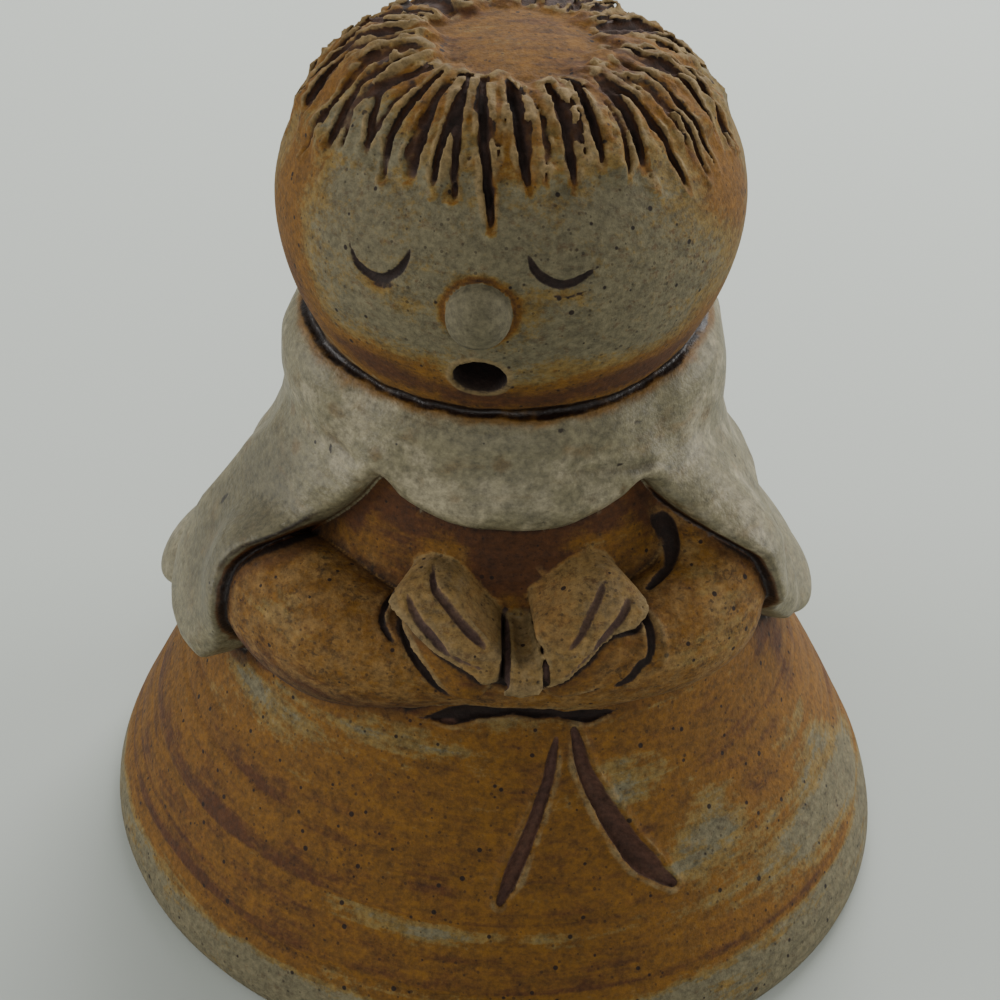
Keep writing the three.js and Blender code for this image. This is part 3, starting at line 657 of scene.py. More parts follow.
# The dark gap between the breast and the right arm: (azimuth, distance from the axis, height, bite)
ARM_GAP = [(40.6, 27.4, 65.4, 0.6), (42.4, 27.6, 64.0, 1.1), (43.2, 28.4, 62.1, 1.35),
           (42.2, 29.7, 60.4, 1.3), (39.2, 30.8, 59.3, 0.95), (35.6, 31.5, 58.6, 0.7),
           (32.6, 32.0, 58.0, 0.35)]
# The dark gap under the sleeves, wide under the left hand and the right cuff
SLEEVE_GAP = [(-16.5, 41.4), (-10.2, 42.2), (-4.0, 43.4), (3.0, 43.9), (9.0, 43.4), (13.0, 42.8),
              (18.7, 42.2), (25.8, 42.2)]
SLEEVE_GAP_SIZES = [0.2, 0.95, 0.85, 0.6, 0.7, 0.26, 0.8, 0.24]
# Thin lips of clay that the sleeves left: at the bottom and beside the wrists
SLEEVE_LIPS = [
    ([(-22, 42.2), (-19, 43.4), (-9.4, 45.8), (-3.8, 46.4), (5.9, 46.6), (11.4, 45.9), (18.8, 45),
      (24, 44.6)], 0.5),
    ([(29.8, 57.4), (30.9, 55.4), (30.4, 53.2), (28.4, 51.2)], 0.5),
    ([(-26.6, 58.6), (-25, 57), (-23.4, 55)], 0.34),
]
# Two soft folds across the mantle's front
FOLDS = [([(14, 74.4), (24, 73.6), (33, 72.9), (43, 72.2)], 0.46),
         ([(-53, 72.3), (-46, 71.8), (-41, 71.2)], 0.36)]

heels, mitts = np.full_like(clay, EMPTY), np.full_like(clay, EMPTY)
for hand, pieces in ((heels, HEELS), (mitts, MITTS)):
    for outline, proud in pieces:
        press_sheet(hand, outline, proud, HAND_EDGE, HAND_SOFT, HAND_SWELL)
for k in slices(42, 70):
    clay[k] = luted(luted(clay[k], heels[k], HAND_SOFT), mitts[k], HAND_SOFT)


def sampled(values, places):
    """The block's value at each place, between its cells."""
    at = (places - corner) / GRAIN
    at = np.clip(at, 0, np.array([across.size, across.size, heights.size]) - 1.001)
    base = at.astype(int)
    rest = (at - base).astype(np.float32)
    total = np.zeros(len(places), np.float32)
    for step in np.ndindex(2, 2, 2):
        dx, dy, dz = np.abs(1 - np.array(step, np.float32) - rest).T
        at = base + step
        total += dx * dy * dz * values[at[:, 2], at[:, 0], at[:, 1]]
    return total


def on_clay(path, bites, lift, steps=14):
    """A guide on the clay's skin along a path of (azimuth, height), thin at both ends. bites is the
    tool's size, or its sizes along the path."""
    turns, levels = np.array(path, float).T
    shares = np.linspace(0, 1, len(path))
    line = []
    for share in np.linspace(0, 1, steps):
        turn, level = np.interp(share, shares, turns), np.interp(share, shares, levels)
        out = np.arange(58.0, 14.0, -0.1)
        angle = math.radians(turn)
        places = np.stack([out * math.sin(angle), -out * math.cos(angle), np.full_like(out, level)], 1)
        solid_at = np.flatnonzero(sampled(clay, places) < 0)
        line.append([turn, out[solid_at[0]], level, share])
    outs = np.array([entry[1] for entry in line])
    outs = np.convolve(np.pad(outs, 1, mode="edge"), [0.25, 0.5, 0.25], "valid")
    sizes = np.interp(np.linspace(0, 1, steps), np.linspace(0, 1, np.size(bites)), np.atleast_1d(bites))
    return [polar(turn, out + lift, level) + (size * min(1.0, 0.4 + 4 * share, 0.35 + 4 * (1 - share)),)
            for (turn, _, level, share), out, size in zip(line, outs, sizes)]


scored = np.full_like(clay, 2.0)  # the distance to the nearest line that a tool drew


def score(guides, burr, burr_width, drag=0.2, tall=1.2, soft=0.12, sides=10):
    """Cuts guides into the clay and raises a ragged burr beside them."""
    tool, part = felt(guides, 1.6, Sides=sides, Spacing=0.6, Tool_height=tall, Drag=drag, Drag_size=1.5)
    uncut[part] = np.minimum(uncut[part], clay[part])
    clay[part] = trimmed(burred(part, tool, burr, burr_width, 0.4, 1.2, 1.5), tool, soft)
    scored[part] = np.minimum(scored[part], tool)


lips = [on_clay(path, size, -0.1) for path, size in SLEEVE_LIPS]
lip, part = felt(lips, 1.6, Sides=10, Spacing=0.6, Drag=0.7, Drag_size=1.6)
clay[part] = luted(clay[part], lip, 0.3)
score([on_clay(path, bite_size, 0.10) for path, bite_size in HAND_LINES], 0.26, 0.34)
score([on_clay(path, bite_size, 0.05) for path, bite_size in CUFF_LINES], 0.26, 0.34)
score([on_clay(SLEEVE_GAP, SLEEVE_GAP_SIZES, -0.1, 30)], 0.2, 0.4, drag=0.8, soft=0.2)
score([[polar(*place) + (size,) for *place, size in ARM_GAP]], 0.1, 0.3, soft=0.3)
score([on_clay(path, bite_size, 0.16) for path, bite_size in FOLDS], 0.10, 0.3, soft=0.9)

# The face: two closed eyes pressed with the edge of a tube, a ball of white clay for the nose, and
# a round singing mouth bored through the wall.
# The eyes and the faint mark of the tube under each
EYES = [
    ([(-41.6, 102.2), (-38.8, 100.4), (-34.7, 99.5), (-30.7, 99.6), (-27.2, 100.9), (-25.2, 102.6),
      (-24.7, 104.2)], [0.24, 0.36, 0.44, 0.46, 0.44, 0.34, 0.24]),
    ([(3.8, 104.8), (5.1, 103.2), (7.6, 101.9), (11.3, 101.0), (14.2, 101.1), (17.6, 101.8),
      (20.9, 102.7)], [0.26, 0.40, 0.46, 0.44, 0.40, 0.34, 0.24]),
    ([(9.3, 99.9), (13.7, 99.4), (18.7, 100.1)], 0.16),
    ([(-33.5, 98.7), (-30.5, 98.5), (-27.0, 99.4)], 0.15),
]
NOSE_RADIUS = 3.8
NOSE_HEIGHT = 97.6
MOUTH_RADIUS = 3.15
MOUTH_HEIGHT = 88.0
HOLLOW_HEIGHTS = [2, 16, 36, 70]
HEAD_HOLLOW_HEIGHTS = [88, 92, 97, 101, 105]

score([on_clay(path, bite_size, -0.06) for path, bite_size in EYES], 0.12, 0.3, drag=0.12)
nose = np.array(polar(FACE_AZIMUTH, float(head_radius(NOSE_HEIGHT)) + 0.6, NOSE_HEIGHT))
near = window(FACE_AZIMUTH, 22)
for k in slices(NOSE_HEIGHT - 8, NOSE_HEIGHT + 8):
    form = np.sqrt((east[near] - nose[0]) ** 2 + (north[near] - nose[1]) ** 2 + (heights[k] - nose[2]) ** 2)
    clay[k][near] = luted(clay[k][near], form - NOSE_RADIUS, 0.12)
bore = [polar(FACE_AZIMUTH, 34 - 3 * step, MOUTH_HEIGHT - 3.0 + step) + (MOUTH_RADIUS,)
        for step in range(8)]
score([bore], 0.42, 0.4, drag=0.4, tall=0.94, soft=0.2, sides=28)
bore_start = np.array(bore[0][:3])
bore_line = np.array(bore[-1][:3]) - bore_start
bore_line /= np.linalg.norm(bore_line)
contour = [(0, -2), (float(body_radius(0)) - BODY_WALL, -2)]
contour += [(float(body_radius(z)) - BODY_WALL, z) for z in HOLLOW_HEIGHTS]
contour += [(NECK_BORE, 78), (NECK_BORE, 83)]
contour += [(float(head_radius(z)) - HEAD_WALL, z) for z in HEAD_HOLLOW_HEIGHTS]
hollow = turned(contour + [(8, 110.6), (0, 111.4)])
for k in slices(BLOCK_LOW, 114):
    form = np.interp(radius, reach, hollow[k]) + 0.12 * wavering(east, north, heights[k] * 3, 12)
    clay[k] = trimmed(clay[k], form, 0.8)

# The seam where the head sits on the mantle: a groove in which dark glaze pooled.
SEAM_BITE = 0.52
SEAM_LEVEL = 0.35

seam = []
for turn in range(-180, 180, 4):
    lift = SHOULDER_RISE * float(beside(abs(turn)))
    level = COLLAR + lift * 0.6 + SEAM_LEVEL
    uneven = math.sin(math.radians(turn * 7)) * math.sin(math.radians(turn * 2.3 + 60))
    size = SEAM_BITE * (1 + 0.3 * uneven)
    seam.append(on_clay([(turn, level), (turn, level)], size, 0.0, 2)[0][:3] + (size,))
pooled, pooled_part = felt([seam + [seam[0]]], 1.8, Sides=10, Spacing=1.0, Drag=0.9, Drag_size=3.0)
clay[pooled_part] = trimmed(clay[pooled_part], pooled, 0.4)

# The gown's opening: two lines drawn down the skirt with a wooden tool, deep and ragged.
GOWN_LINES = [
    ([(11.9, 40.6), (9.6, 35.0), (6.8, 30.3), (3.7, 25.8), (0.9, 21.2)], [0.56, 0.62, 0.74, 0.92, 0.84]),
    ([(15.4, 41.4), (16.8, 36.2), (19.7, 31.6), (24.1, 25.4), (29.8, 20.6)], [0.7, 0.84, 1.15, 1.45, 1.1]),
]
for path, bites in GOWN_LINES:
    score([on_clay(path, bites, 0.10, 18)], 0.6, 0.5, drag=0.34, tall=1.3)

# The firing: the block's skin is taken off as one closed mesh, leant and pushed out of round as the
# potter left it, and thinned where it is smooth.
FACT_LIMIT = 4
NARROW, WIDE = 0.9, 2.6  # how far from the skin a narrow and a wide hollow are felt for
NOSE_STAIN = 0.62  # the wash round the nose, along the fringe and on the mitts, and painted shade inside the mouth
FRINGE_STAIN = 0.05
MITT_STAIN = 0.04
MOUTH_SHADE = 3.0
SKIRT_BASE = 0.60
# Soft marks of the brush, some of them painted shade: (azimuth, height, half width, half height, amount)
SKIRT_WASH_AND_SHADE = [
    (24, 33.5, 8, 3.6, -0.55), (39, 24.5, 7, 4.6, -0.6), (33, 22.5, 5, 2.2, -0.3), (71, 25, 6, 5, -0.3),
    (80, 13, 12, 6, -0.6), (-52, 35.0, 14, 2.4, -0.5), (-24, 38.4, 18, 2.6, -0.5), (1, 42.5, 13, 1.8, -0.4),
    (-8, 17.4, 24, 1.1, -0.4), (14, 9.5, 30, 1.6, -0.12), (50, 44, 9, 5, -0.2), (60, 16, 18, 4.0, -0.55),
    (-60, 38.4, 5, 1.6, 1.0), (72, 40, 7, 1.4, 0.9), (75, 33, 4, 5, 0.3), (-60, 31, 16, 5, -0.1),
    (-45, 60.5, 6, 2.5, -0.2), (34, 62.5, 5, 2.2, -0.25), (0, 63, 34, 5, 0.3), (44, 58.5, 5, 4, -0.25),
    (-38, 43.5, 24, 3.6, 0.75), (-46, 46, 12, 4, 0.2), (-14, 60, 7, 5, -0.65), (22, 61, 6, 4.5, -0.55),
    (-45, 53, 16, 5, -0.2), (42, 52, 16, 6, -0.2), (24, 46, 14, 3, -0.15), (0, 62, 36, 5.5, 0.26),
    # painted shade: (-43.5, 65) and (41, 66) darken the corners between mantle, arms and breast, and the thin
    # marks at heights 65.6 to 66.6 draw a dark line under the mantle's hem
    (-43.5, 65, 3.5, 4, 1.1), (41, 66, 3.5, 2.6, 1.1), (-30, 66.2, 9, 1.1, 0.6), (-12, 66.0, 9, 1.1, 0.5),
    (8, 66.6, 10, 1.1, 0.5), (26, 65.6, 8, 1.1, 0.6), (64, 19, 16, 5, -0.3), (-62, 37, 8, 2, -0.2),
    # painted shade: (3, 59.5), (-3.5, 60.0) and (12, 58) darken the hollow between the mitts
    (3, 59.5, 3.5, 3, 0.4), (-3.5, 60.0, 3, 3.4, 0.4), (12, 58, 4, 4, 0.3), (4, 55, 4, 3, -0.5),
    (13, 50, 9, 4, 0.1),
    (140, 30, 24, 6, -0.35), (-130, 24, 20, 7, -0.35), (178, 18, 24, 4, -0.3), (110, 44, 20, 6, 0.15),
]
FACE_BASE = 0.05
FACE_WASH = [
    (-70, 98, 14, 14, 0.55), (-64, 90, 12, 5, 0.4), (-38, 85.4, 20, 3.2, 1.0), (-4, 83.0, 24, 2.6, 0.95),
    (36, 84.4, 24, 3.2, 1.05), (62, 87, 16, 5, 0.5), (62, 106.5, 13, 6, 0.32), (74, 102, 14, 9, 0.36),
    (-24, 98, 3, 3, 0.2), (4, 99, 3.5, 3, 0.2), (-32, 98.6, 4, 1.1, 0.3), (13, 99.8, 5, 1.1, 0.25),
    (-20, 89.5, 4, 1.6, 0.16), (12, 89, 12, 1.2, 0.18),
    (120, 98, 26, 12, 0.42), (-120, 96, 30, 14, 0.4), (180, 92, 40, 9, 0.45),
]
HAIR_BASE = 0.38
HAIR_WASH = [
    (-55, 113, 16, 3.5, -0.4), (-40, 111.5, 12, 2.6, -0.28), (-84, 112, 14, 5, 0.16), (60, 113, 30, 6, 0.2),
    (80, 108, 20, 5, 0.22), (0, 117.4, 400, 1.3, 0.28), (150, 112, 40, 8, 0.12), (-140, 110, 40, 8, 0.1),
]
RING_STRENGTH = [
    (-56, 12, 26, 6, 1.0), (-50, 20.5, 24, 3.2, 1.0), (-50, 26.5, 13, 1.4, 0.8), (-5, 10.5, 26, 3.4, 0.5),
    (34, 10.5, 26, 5, 0.45), (62, 16, 18, 10, 0.35), (100, 16, 40, 10, 0.6), (-120, 16, 40, 10, 0.8),
    (178, 14, 40, 9, 0.7), (0, 20, 26, 3, 0.35),
]
SANDY = [
    (-45, 49, 24, 9, 1.0), (46, 98, 18, 9, 0.9), (0, 63, 34, 6, 1.0), (45, 52, 24, 9, 0.9),
    (0, 98, 60, 14, 0.3),
]
# Where the white glaze is thicker, and where it is darker, which on the left wing (-72, 56) is painted shade;
# its tan spots and its dark marks
THICK_AND_SHADED_WHITE = [
    (0, 70.5, 30, 3.0, 0.22), (56, 73, 12, 5, 0.14), (-58, 74, 12, 4, 0.14), (-72, 56, 17, 12, -0.5),
    (72, 54, 12, 10, -0.14), (0, 77.5, 40, 2.0, -0.08),
]
TAN_SPOTS = [
    (-74, 70.3, 3.2, 1.6, 1), (-50, 76.5, 3.4, 1.5, 1), (-35, 73.6, 3.0, 1.3, 0.9),
    (-1, 75.4, 3.4, 1.5, 1), (22, 76.2, 3.0, 1.2, 0.9), (64, 73, 3.4, 1.6, 0.9),
    (-64, 67.9, 3.4, 1.5, 0.9), (30, 70.6, 2.2, 1.0, 0.8), (-20, 72.6, 2.6, 1.1, 0.8),
    (-88, 60, 4, 2, 0.8), (80, 62, 4, 2, 0.8),
]
DARK_MARKS = [
    (-7, 78, 1.0, 1.0, 0.8), (15, 79, 1.1, 0.8, 0.75), (38, 77.6, 2.0, 0.6, 0.9),
    (-51, 70.8, 0.9, 0.8, 0.9), (-82, 54.5, 1.2, 0.8, 0.9), (-82, 52.4, 1.0, 0.7, 0.8),
    (10, 68.7, 1.0, 0.7, 0.8), (17, 69.3, 1.1, 0.7, 0.8), (30, 73.6, 1.0, 0.6, 0.8),
]
LEAN = 0.0146  # the figurine leans to +X by this share of its height
OVAL = 0.027  # the gown is out of round by this share, and less so between these heights
OVAL_FADE = (62, 82)
FOOT_TRIM = 0.0055  # the foot is sponged back by this share
TIPS_FROM = 116.0  # and the tips of the hair are pressed down above this height
TIPS_KEPT = 0.86
MOST_TRIANGLES = 188000

grid = openvdb.FloatGrid()
grid.background = EMPTY
grid.copyFromArray(np.ascontiguousarray(clay.transpose(1, 2, 0)))
points, quads = grid.convertToQuads(isovalue=0.0)
points = points.astype(np.float64) * GRAIN + corner
quads = quads.astype(np.int64)
shell = np.arange(len(points))
for _ in range(60):
    lowest = shell[quads].min(1)
    before = shell.copy()
    for corners_there in quads.T:
        np.minimum.at(shell, corners_there, lowest)
    shell = shell[shell]
    if (shell == before).all():
        break
names, counts = np.unique(shell, return_counts=True)
main_shell = names[counts.argmax()]
quads = quads[shell[quads[:, 0]] == main_shell]
used = np.unique(quads)
renumber = np.full(len(points), -1)
renumber[used] = np.arange(len(used))
points, quads = points[used], renumber[quads]
corners = points[quads]
volume = np.einsum("ij,ij->i", corners[:, 0], np.cross(corners[:, 1], corners[:, 2])).sum()
if volume < 0:
    quads = quads[:, ::-1]
raw = bpy.data.meshes.new("raw")
raw.from_pydata(points.tolist(), [], quads.tolist())
raw_piece = placed("raw", raw)
thin = raw_piece.modifiers.new("Thinned", "DECIMATE")
thin.ratio = min(1.0, MOST_TRIANGLES / (2 * len(quads)))
fired = made_real(raw_piece)
places = np.empty(len(fired.vertices) * 3)
fired.vertices.foreach_get("co", places)
places = places.reshape(-1, 3)


def fact(name, values):
    """Keeps one number for each corner of the figurine, for its glaze."""
    noted(fired, name, np.clip(values, -FACT_LIMIT, FACT_LIMIT).astype(np.float32))


slope = np.stack([sampled(clay, places + step) - sampled(clay, places - step)
                  for step in 0.5 * np.eye(3)], 1)
slope /= np.linalg.norm(slope, axis=1, keepdims=True) + 1e-9
turn = np.degrees(np.arctan2(places[:, 0], -places[:, 1]))
out = np.hypot(places[:, 0], places[:, 1])
high = places[:, 2]


def spread_out(part, values, far):
    """A tool's distances put back in an empty block."""
    whole = np.full_like(clay, far)
    whole[part] = values
    return sampled(whole, places)


def brushed(strokes):
    """The sum of soft round brush marks: (azimuth, height, half width, half height, amount)."""
    total = np.zeros(len(places))
    for mid_turn, mid_high, half_turn, half_high, amount in strokes:
        gap = ((turn - mid_turn + 180) % 360 - 180) / half_turn
        total += amount * np.exp(-(gap ** 2 + ((high - mid_high) / half_high) ** 2))
    return total


combed_there = spread_out(combed_part, combed, 1.5)
pooled_there = spread_out(pooled_part, pooled, 1.8)
glazed = 1 - eased(sampled(mantle, places), 0.15, 0.75)
nose_gap = np.linalg.norm(places - nose, axis=1) - NOSE_RADIUS
on_head = eased(high, 79.5, 82.5) * (1 - glazed)
in_hair = np.maximum(eased(hair_rise(turn, out), 0.6, 1.5), out < 12) * (high > HAIR_FROM)
fringe_gap = out - 0.3 - fringe_at(turn)
in_hair = np.maximum(in_hair, (combed_there < 0.35) * (high > HAIR_FROM) * (out > 8))

# the wash, with the painted shade under the mantle's hem, in the corners by the arms and between the mitts
wash_and_shade = brushed(SKIRT_WASH_AND_SHADE) + SKIRT_BASE * (1 - on_head)
wash_and_shade *= eased(high, 6.2 + 2.0 * eased(turn, 0, 60), 9.6 + 2.5 * eased(turn, 0, 60))
wash_and_shade = wash_and_shade * (1 - on_head) + on_head * (FACE_BASE + brushed(FACE_WASH))
wash_and_shade = wash_and_shade + on_head * NOSE_STAIN * (1 - eased(nose_gap, 0.2, 1.5))
wash_and_shade = wash_and_shade + on_head * (high > 100) * FRINGE_STAIN * np.exp(-((fringe_gap / 0.6) ** 2))
wash_and_shade = wash_and_shade * (1 - in_hair) + in_hair * (HAIR_BASE + brushed(HAIR_WASH))
mitt = 1 - eased(sampled(mitts, places), 0.1, 0.4)
wash_and_shade = wash_and_shade * (1 - 0.7 * mitt) + MITT_STAIN * mitt
wash_and_shade = np.where(nose_gap < 0.12, -0.2, wash_and_shade)
mouth_gap = np.linalg.norm(np.cross(places - bore_start, bore_line), axis=1) - MOUTH_RADIUS
in_mouth = (mouth_gap < 0.15) * (out < head_radius(MOUTH_HEIGHT) - 0.35) * (np.abs(high - MOUTH_HEIGHT) < 8)
in_mouth = in_mouth * (places[:, 1] < 0)
# painted shade: the inside of the bored mouth is painted near black with umber
wash_and_shade = np.where(in_mouth, MOUTH_SHADE, wash_and_shade)
fact("wash_and_shade", wash_and_shade)
fact("rings", brushed(RING_STRENGTH) * (1 - on_head) * (1 - glazed))
fact("glazed", glazed)
fact("hair", in_hair)
fact("face", on_head * (1 - in_hair))
fact("turned", (1 - in_hair) * (1 - 0.75 * on_head))
# tight and hollow say how closed in each place is; the glaze turns them into pooled wash and painted shade
fact("tight", 1 - sampled(clay, places + slope * NARROW) / NARROW)
fact("hollow", 1 - sampled(clay, places + slope * WIDE) / WIDE)
fact("ridge", 1 + sampled(clay, places - slope * NARROW) / NARROW)
fact("depth", np.clip(-sampled(uncut, places), 0, 3))
fact("scored", sampled(scored, places))
fact("pooled", pooled_there)
fact("mitt", mitt)
fact("sandy", brushed(SANDY))
fact("nose", nose_gap)
arm_there = (1 - eased(sampled(arms, places), 0.4, 1.4)) * (1 - mitt) * (1 - glazed)
fact("arm", arm_there * (0.35 + 0.65 * eased(high, 41, 48)))
fact("plum", (high < 41.5) * 0.85 + mitt * 0.35)
# where cuts on the gown above the skirt are painted near black, as shade in the gaps under the sleeves and
# beside the right arm
fact("gap", (1 - in_hair) * (1 - on_head) * (1 - mitt) * (high > 41.4))
fact("rim", (1 - eased(sampled(arms, places), 0.7, 2.0)) * glazed)
# thick is below 0 where the white is painted darker; on the left wing this is painted shade
fact("thick", brushed(THICK_AND_SHADED_WHITE))
fact("spots", brushed(TAN_SPOTS))
fact("marks", brushed(DARK_MARKS))
del uncut, mantle, scored, mitts, heels, arms

angle = np.arctan2(places[:, 0], -places[:, 1])
swell = 1 + OVAL * np.sin(2 * angle) * (1 - eased(high, *OVAL_FADE))
places[:, 0] = places[:, 0] * swell + LEAN * places[:, 2]
places[:, 1] *= swell
places[:, :2] *= 1 - FOOT_TRIM * (1 - eased(high, 12, 30))[:, None]
places[:, 2] = np.maximum(np.where(high > TIPS_FROM, TIPS_FROM + (high - TIPS_FROM) * TIPS_KEPT, high), 0)
places /= 1000
fired.vertices.foreach_set("co", places.ravel())
fired.update()
fired.shade_smooth()
angel = placed("angel", fired)

# The finish: the bare clay is grey-green and full of iron specks. Thin iron wash was brushed on and wiped, so
# it stays in every cut; painted shade darkens the crevices, creases, hollows and gaps, and the mantle and
# nose are white.
BARE = (0.121, 0.102, 0.056, 1)
BUFF = (0.150, 0.096, 0.026, 1)
OCHRE = (0.130, 0.056, 0.004, 1)
RUST = (0.060, 0.020, 0.004, 1)
UMBER = (0.010, 0.004, 0.002, 1)
PALE = (0.176, 0.120, 0.050, 1)
SLATE = (0.046, 0.028, 0.024, 1)
PLUM = (0.085, 0.038, 0.026, 1)
WHITE = (0.144, 0.124, 0.070, 1)
CREAM = (0.226, 0.194, 0.122, 1)
TAN = (0.110, 0.072, 0.028, 1)
BALL = (0.108, 0.092, 0.052, 1)
SAND = (0.190, 0.108, 0.034, 1)
SHADED_WHITE = (0.084, 0.071, 0.038, 1)
# The lines of wash along the throwing rings: (height, strength)
RING_LINES = [(0, 0), (8.2, 0), (8.6, .35), (9.0, 0), (10.4, 0.1), (10.8, 1), (11.6, .9), (12.4, .25),
              (12.9, .1), (13.3, .6), (13.8, .1), (15.6, .2), (16, .5), (16.4, .1), (18.4, 0), (18.9, 1),
              (20.2, .8), (21.8, .15), (25.2, 0), (25.6, 1), (27, .5), (28.4, 0), (33, .2), (34, 0)]
RING_SPAN = 40.0

stoneware = bpy.data.materials.new("stoneware")
stoneware.use_nodes = True
finish = stoneware.node_tree
shader = finish.nodes["Principled BSDF"]


def worked(operation, *values, clamp=False):
    return node(finish, "ShaderNodeMath", dict(enumerate(values)), operation=operation,
                use_clamp=clamp).outputs[0]


def times(first, *others):
    for other in others:
        first = worked("MULTIPLY", first, other)
    return first


def without(share):
    """What is left of 1."""
    return worked("SUBTRACT", 1.0, share)


def added(first, second, share):
    """first plus share times second."""
    return worked("MULTIPLY_ADD", second, share, first)


def laid(under, colour, share, how="MIX"):
    """The colour over what is under it, where share is above 0."""
    return node(finish, "ShaderNodeMix", {0: share, 6: under, 7: colour}, data_type="RGBA",
                blend_type=how).outputs[2]


def known(name):
    """A fact that was kept at each corner."""
    return node(finish, "ShaderNodeAttribute", attribute_name=name).outputs["Fac"]


def between(value, low, high):
    """A soft step from 0 at low to 1 at high."""
    return node(finish, "ShaderNodeMapRange", {0: value, 1: low, 2: high},
                interpolation_type="SMOOTHSTEP").outputs[0]


place = node(finish, "ShaderNodeTexCoord").outputs["Object"]


def stretched(wide, tall, seed, deep=None):
    """The place in bumps so many millimetres wide, deep and tall, moved by the seed."""
    size = (1000 / wide, 1000 / (deep or wide), 1000 / tall)
    moved = (7.3 * seed, 3.1 * seed, 5.7 * seed)
    return node(finish, "ShaderNodeVectorMath", {0: place, 1: size, 2: moved},
                operation="MULTIPLY_ADD").outputs[0]


def cloudy(wide, tall, seed, detail=3.0, rough=0.55, deep=None):
    """Noise about 0."""
    noise = node(finish, "ShaderNodeTexNoise", {"Vector": stretched(wide, tall, seed, deep), "Scale": 1.0,
                                                "Detail": detail, "Roughness": rough})
    return worked("SUBTRACT", noise.outputs[0], 0.5)


def dots(apart, size, share, seed):
    """Round specks: 1 inside one. They lie in random cells of a width, and only a share of them show."""
    cells = node(finish, "ShaderNodeTexVoronoi", {"Vector": stretched(apart, apart, seed), "Scale": 1.0})
    lucky = node(finish, "ShaderNodeSeparateColor", {0: cells.outputs["Color"]}).outputs
    inside = worked("SUBTRACT", times(lucky[1], size / apart), cells.outputs["Distance"])
    return times(between(inside, 0.0, 0.3 * size / apart), worked("LESS_THAN", lucky[0], share))


height = times(node(finish, "ShaderNodeSeparateXYZ", {0: place}).outputs[2], 1000.0)
level = added(height, cloudy(40, 200, 2.0, 1.0), 1.6)
level = added(level, cloudy(5, 3, 3.0, 2.0), 0.5)
lines = node(finish, "ShaderNodeValToRGB", {0: worked("DIVIDE", level, RING_SPAN)})
stops = lines.color_ramp.elements
for count, (at, strength) in enumerate(RING_LINES):
    stop = stops[count] if count < 2 else stops.new(at / RING_SPAN)
    stop.position = at / RING_SPAN
for stop, (at, strength) in zip(stops, RING_LINES):
    stop.color = (strength, strength, strength, 1)
ringed = times(lines.outputs[0], known("rings"))
streaks = cloudy(22, 1.0, 5.0, 4.0, 0.6)
patches = cloudy(7, 4, 6.0, 4.0, 0.6)
grit = cloudy(0.7, 0.7, 7.0, 2.0, 0.7)

# The iron wash and the painted shade kept with it, from bare clay where there is none to umber where it is
# thick
on_face, in_hair, on_mitt = known("face"), known("hair"), known("mitt")
on_arm, sandy, plum = known("arm"), known("sandy"), known("plum")
wash_and_shade = added(known("wash_and_shade"), ringed, 0.42)
wash_and_shade = added(wash_and_shade, times(streaks, known("turned")), 0.7)
calm = worked("SUBTRACT", added(1.0, on_face, -0.4), times(sandy, 0.3))
wash_and_shade = added(wash_and_shade, times(patches, calm), 0.95)
wash_and_shade = added(wash_and_shade, times(cloudy(9, 9, 23.0, 4.0, 0.6, deep=1.6), in_hair), 0.9)
wash_and_shade = added(wash_and_shade, grit, 0.40)
body = laid(BARE, BUFF, between(wash_and_shade, 0.06, 0.26))
body = laid(body, OCHRE, between(wash_and_shade, 0.24, 0.46))
body = laid(body, RUST, between(wash_and_shade, 0.55, 0.98))
body = laid(body, UMBER, times(between(wash_and_shade, 0.95, 2.2), 0.92))
dusty = between(cloudy(2.6, 2.0, 24.0, 4.0, 0.7), -0.14, 0.14)
body = laid(body, PALE, times(on_mitt, 0.5, dusty))
body = laid(body, SAND, times(on_mitt, 0.55))
body = laid(body, SAND, times(on_arm, 0.66, dusty))
pitted = between(cloudy(1.5, 1.1, 21.0, 4.0, 0.75), 0.02, 0.2)
body = laid(body, RUST, times(pitted, added(0.36, sandy, 0.40)))

# Fine cracks on the arms and mitts, and iron specks everywhere
cracks = node(finish, "ShaderNodeTexVoronoi", {"Vector": stretched(1.3, 0.9, 31.0), "Scale": 1.0},
              feature="DISTANCE_TO_EDGE").outputs["Distance"]
cracks = without(between(added(cracks, cloudy(0.8, 0.6, 32.0, 2.0), 0.9), 0.0, 0.10))
cracks = times(cracks, between(cloudy(2.6, 1.8, 33.0, 3.0), 0.02, 0.14))
cracks = worked("MULTIPLY", cracks, added(on_arm, on_mitt, 0.6), clamp=True)
body = laid(body, UMBER, times(cracks, 0.5))
freckles = dots(1.7, 0.42, 0.6, 1.0)
dust = dots(0.8, 0.27, 0.5, 4.0)
sand = times(dots(0.58, 0.25, 0.85, 9.0), sandy, 0.45)
specks = worked("MAXIMUM", worked("MAXIMUM", freckles, times(dust, 0.6)), sand, clamp=True)
body = laid(body, UMBER, times(specks, 0.95))

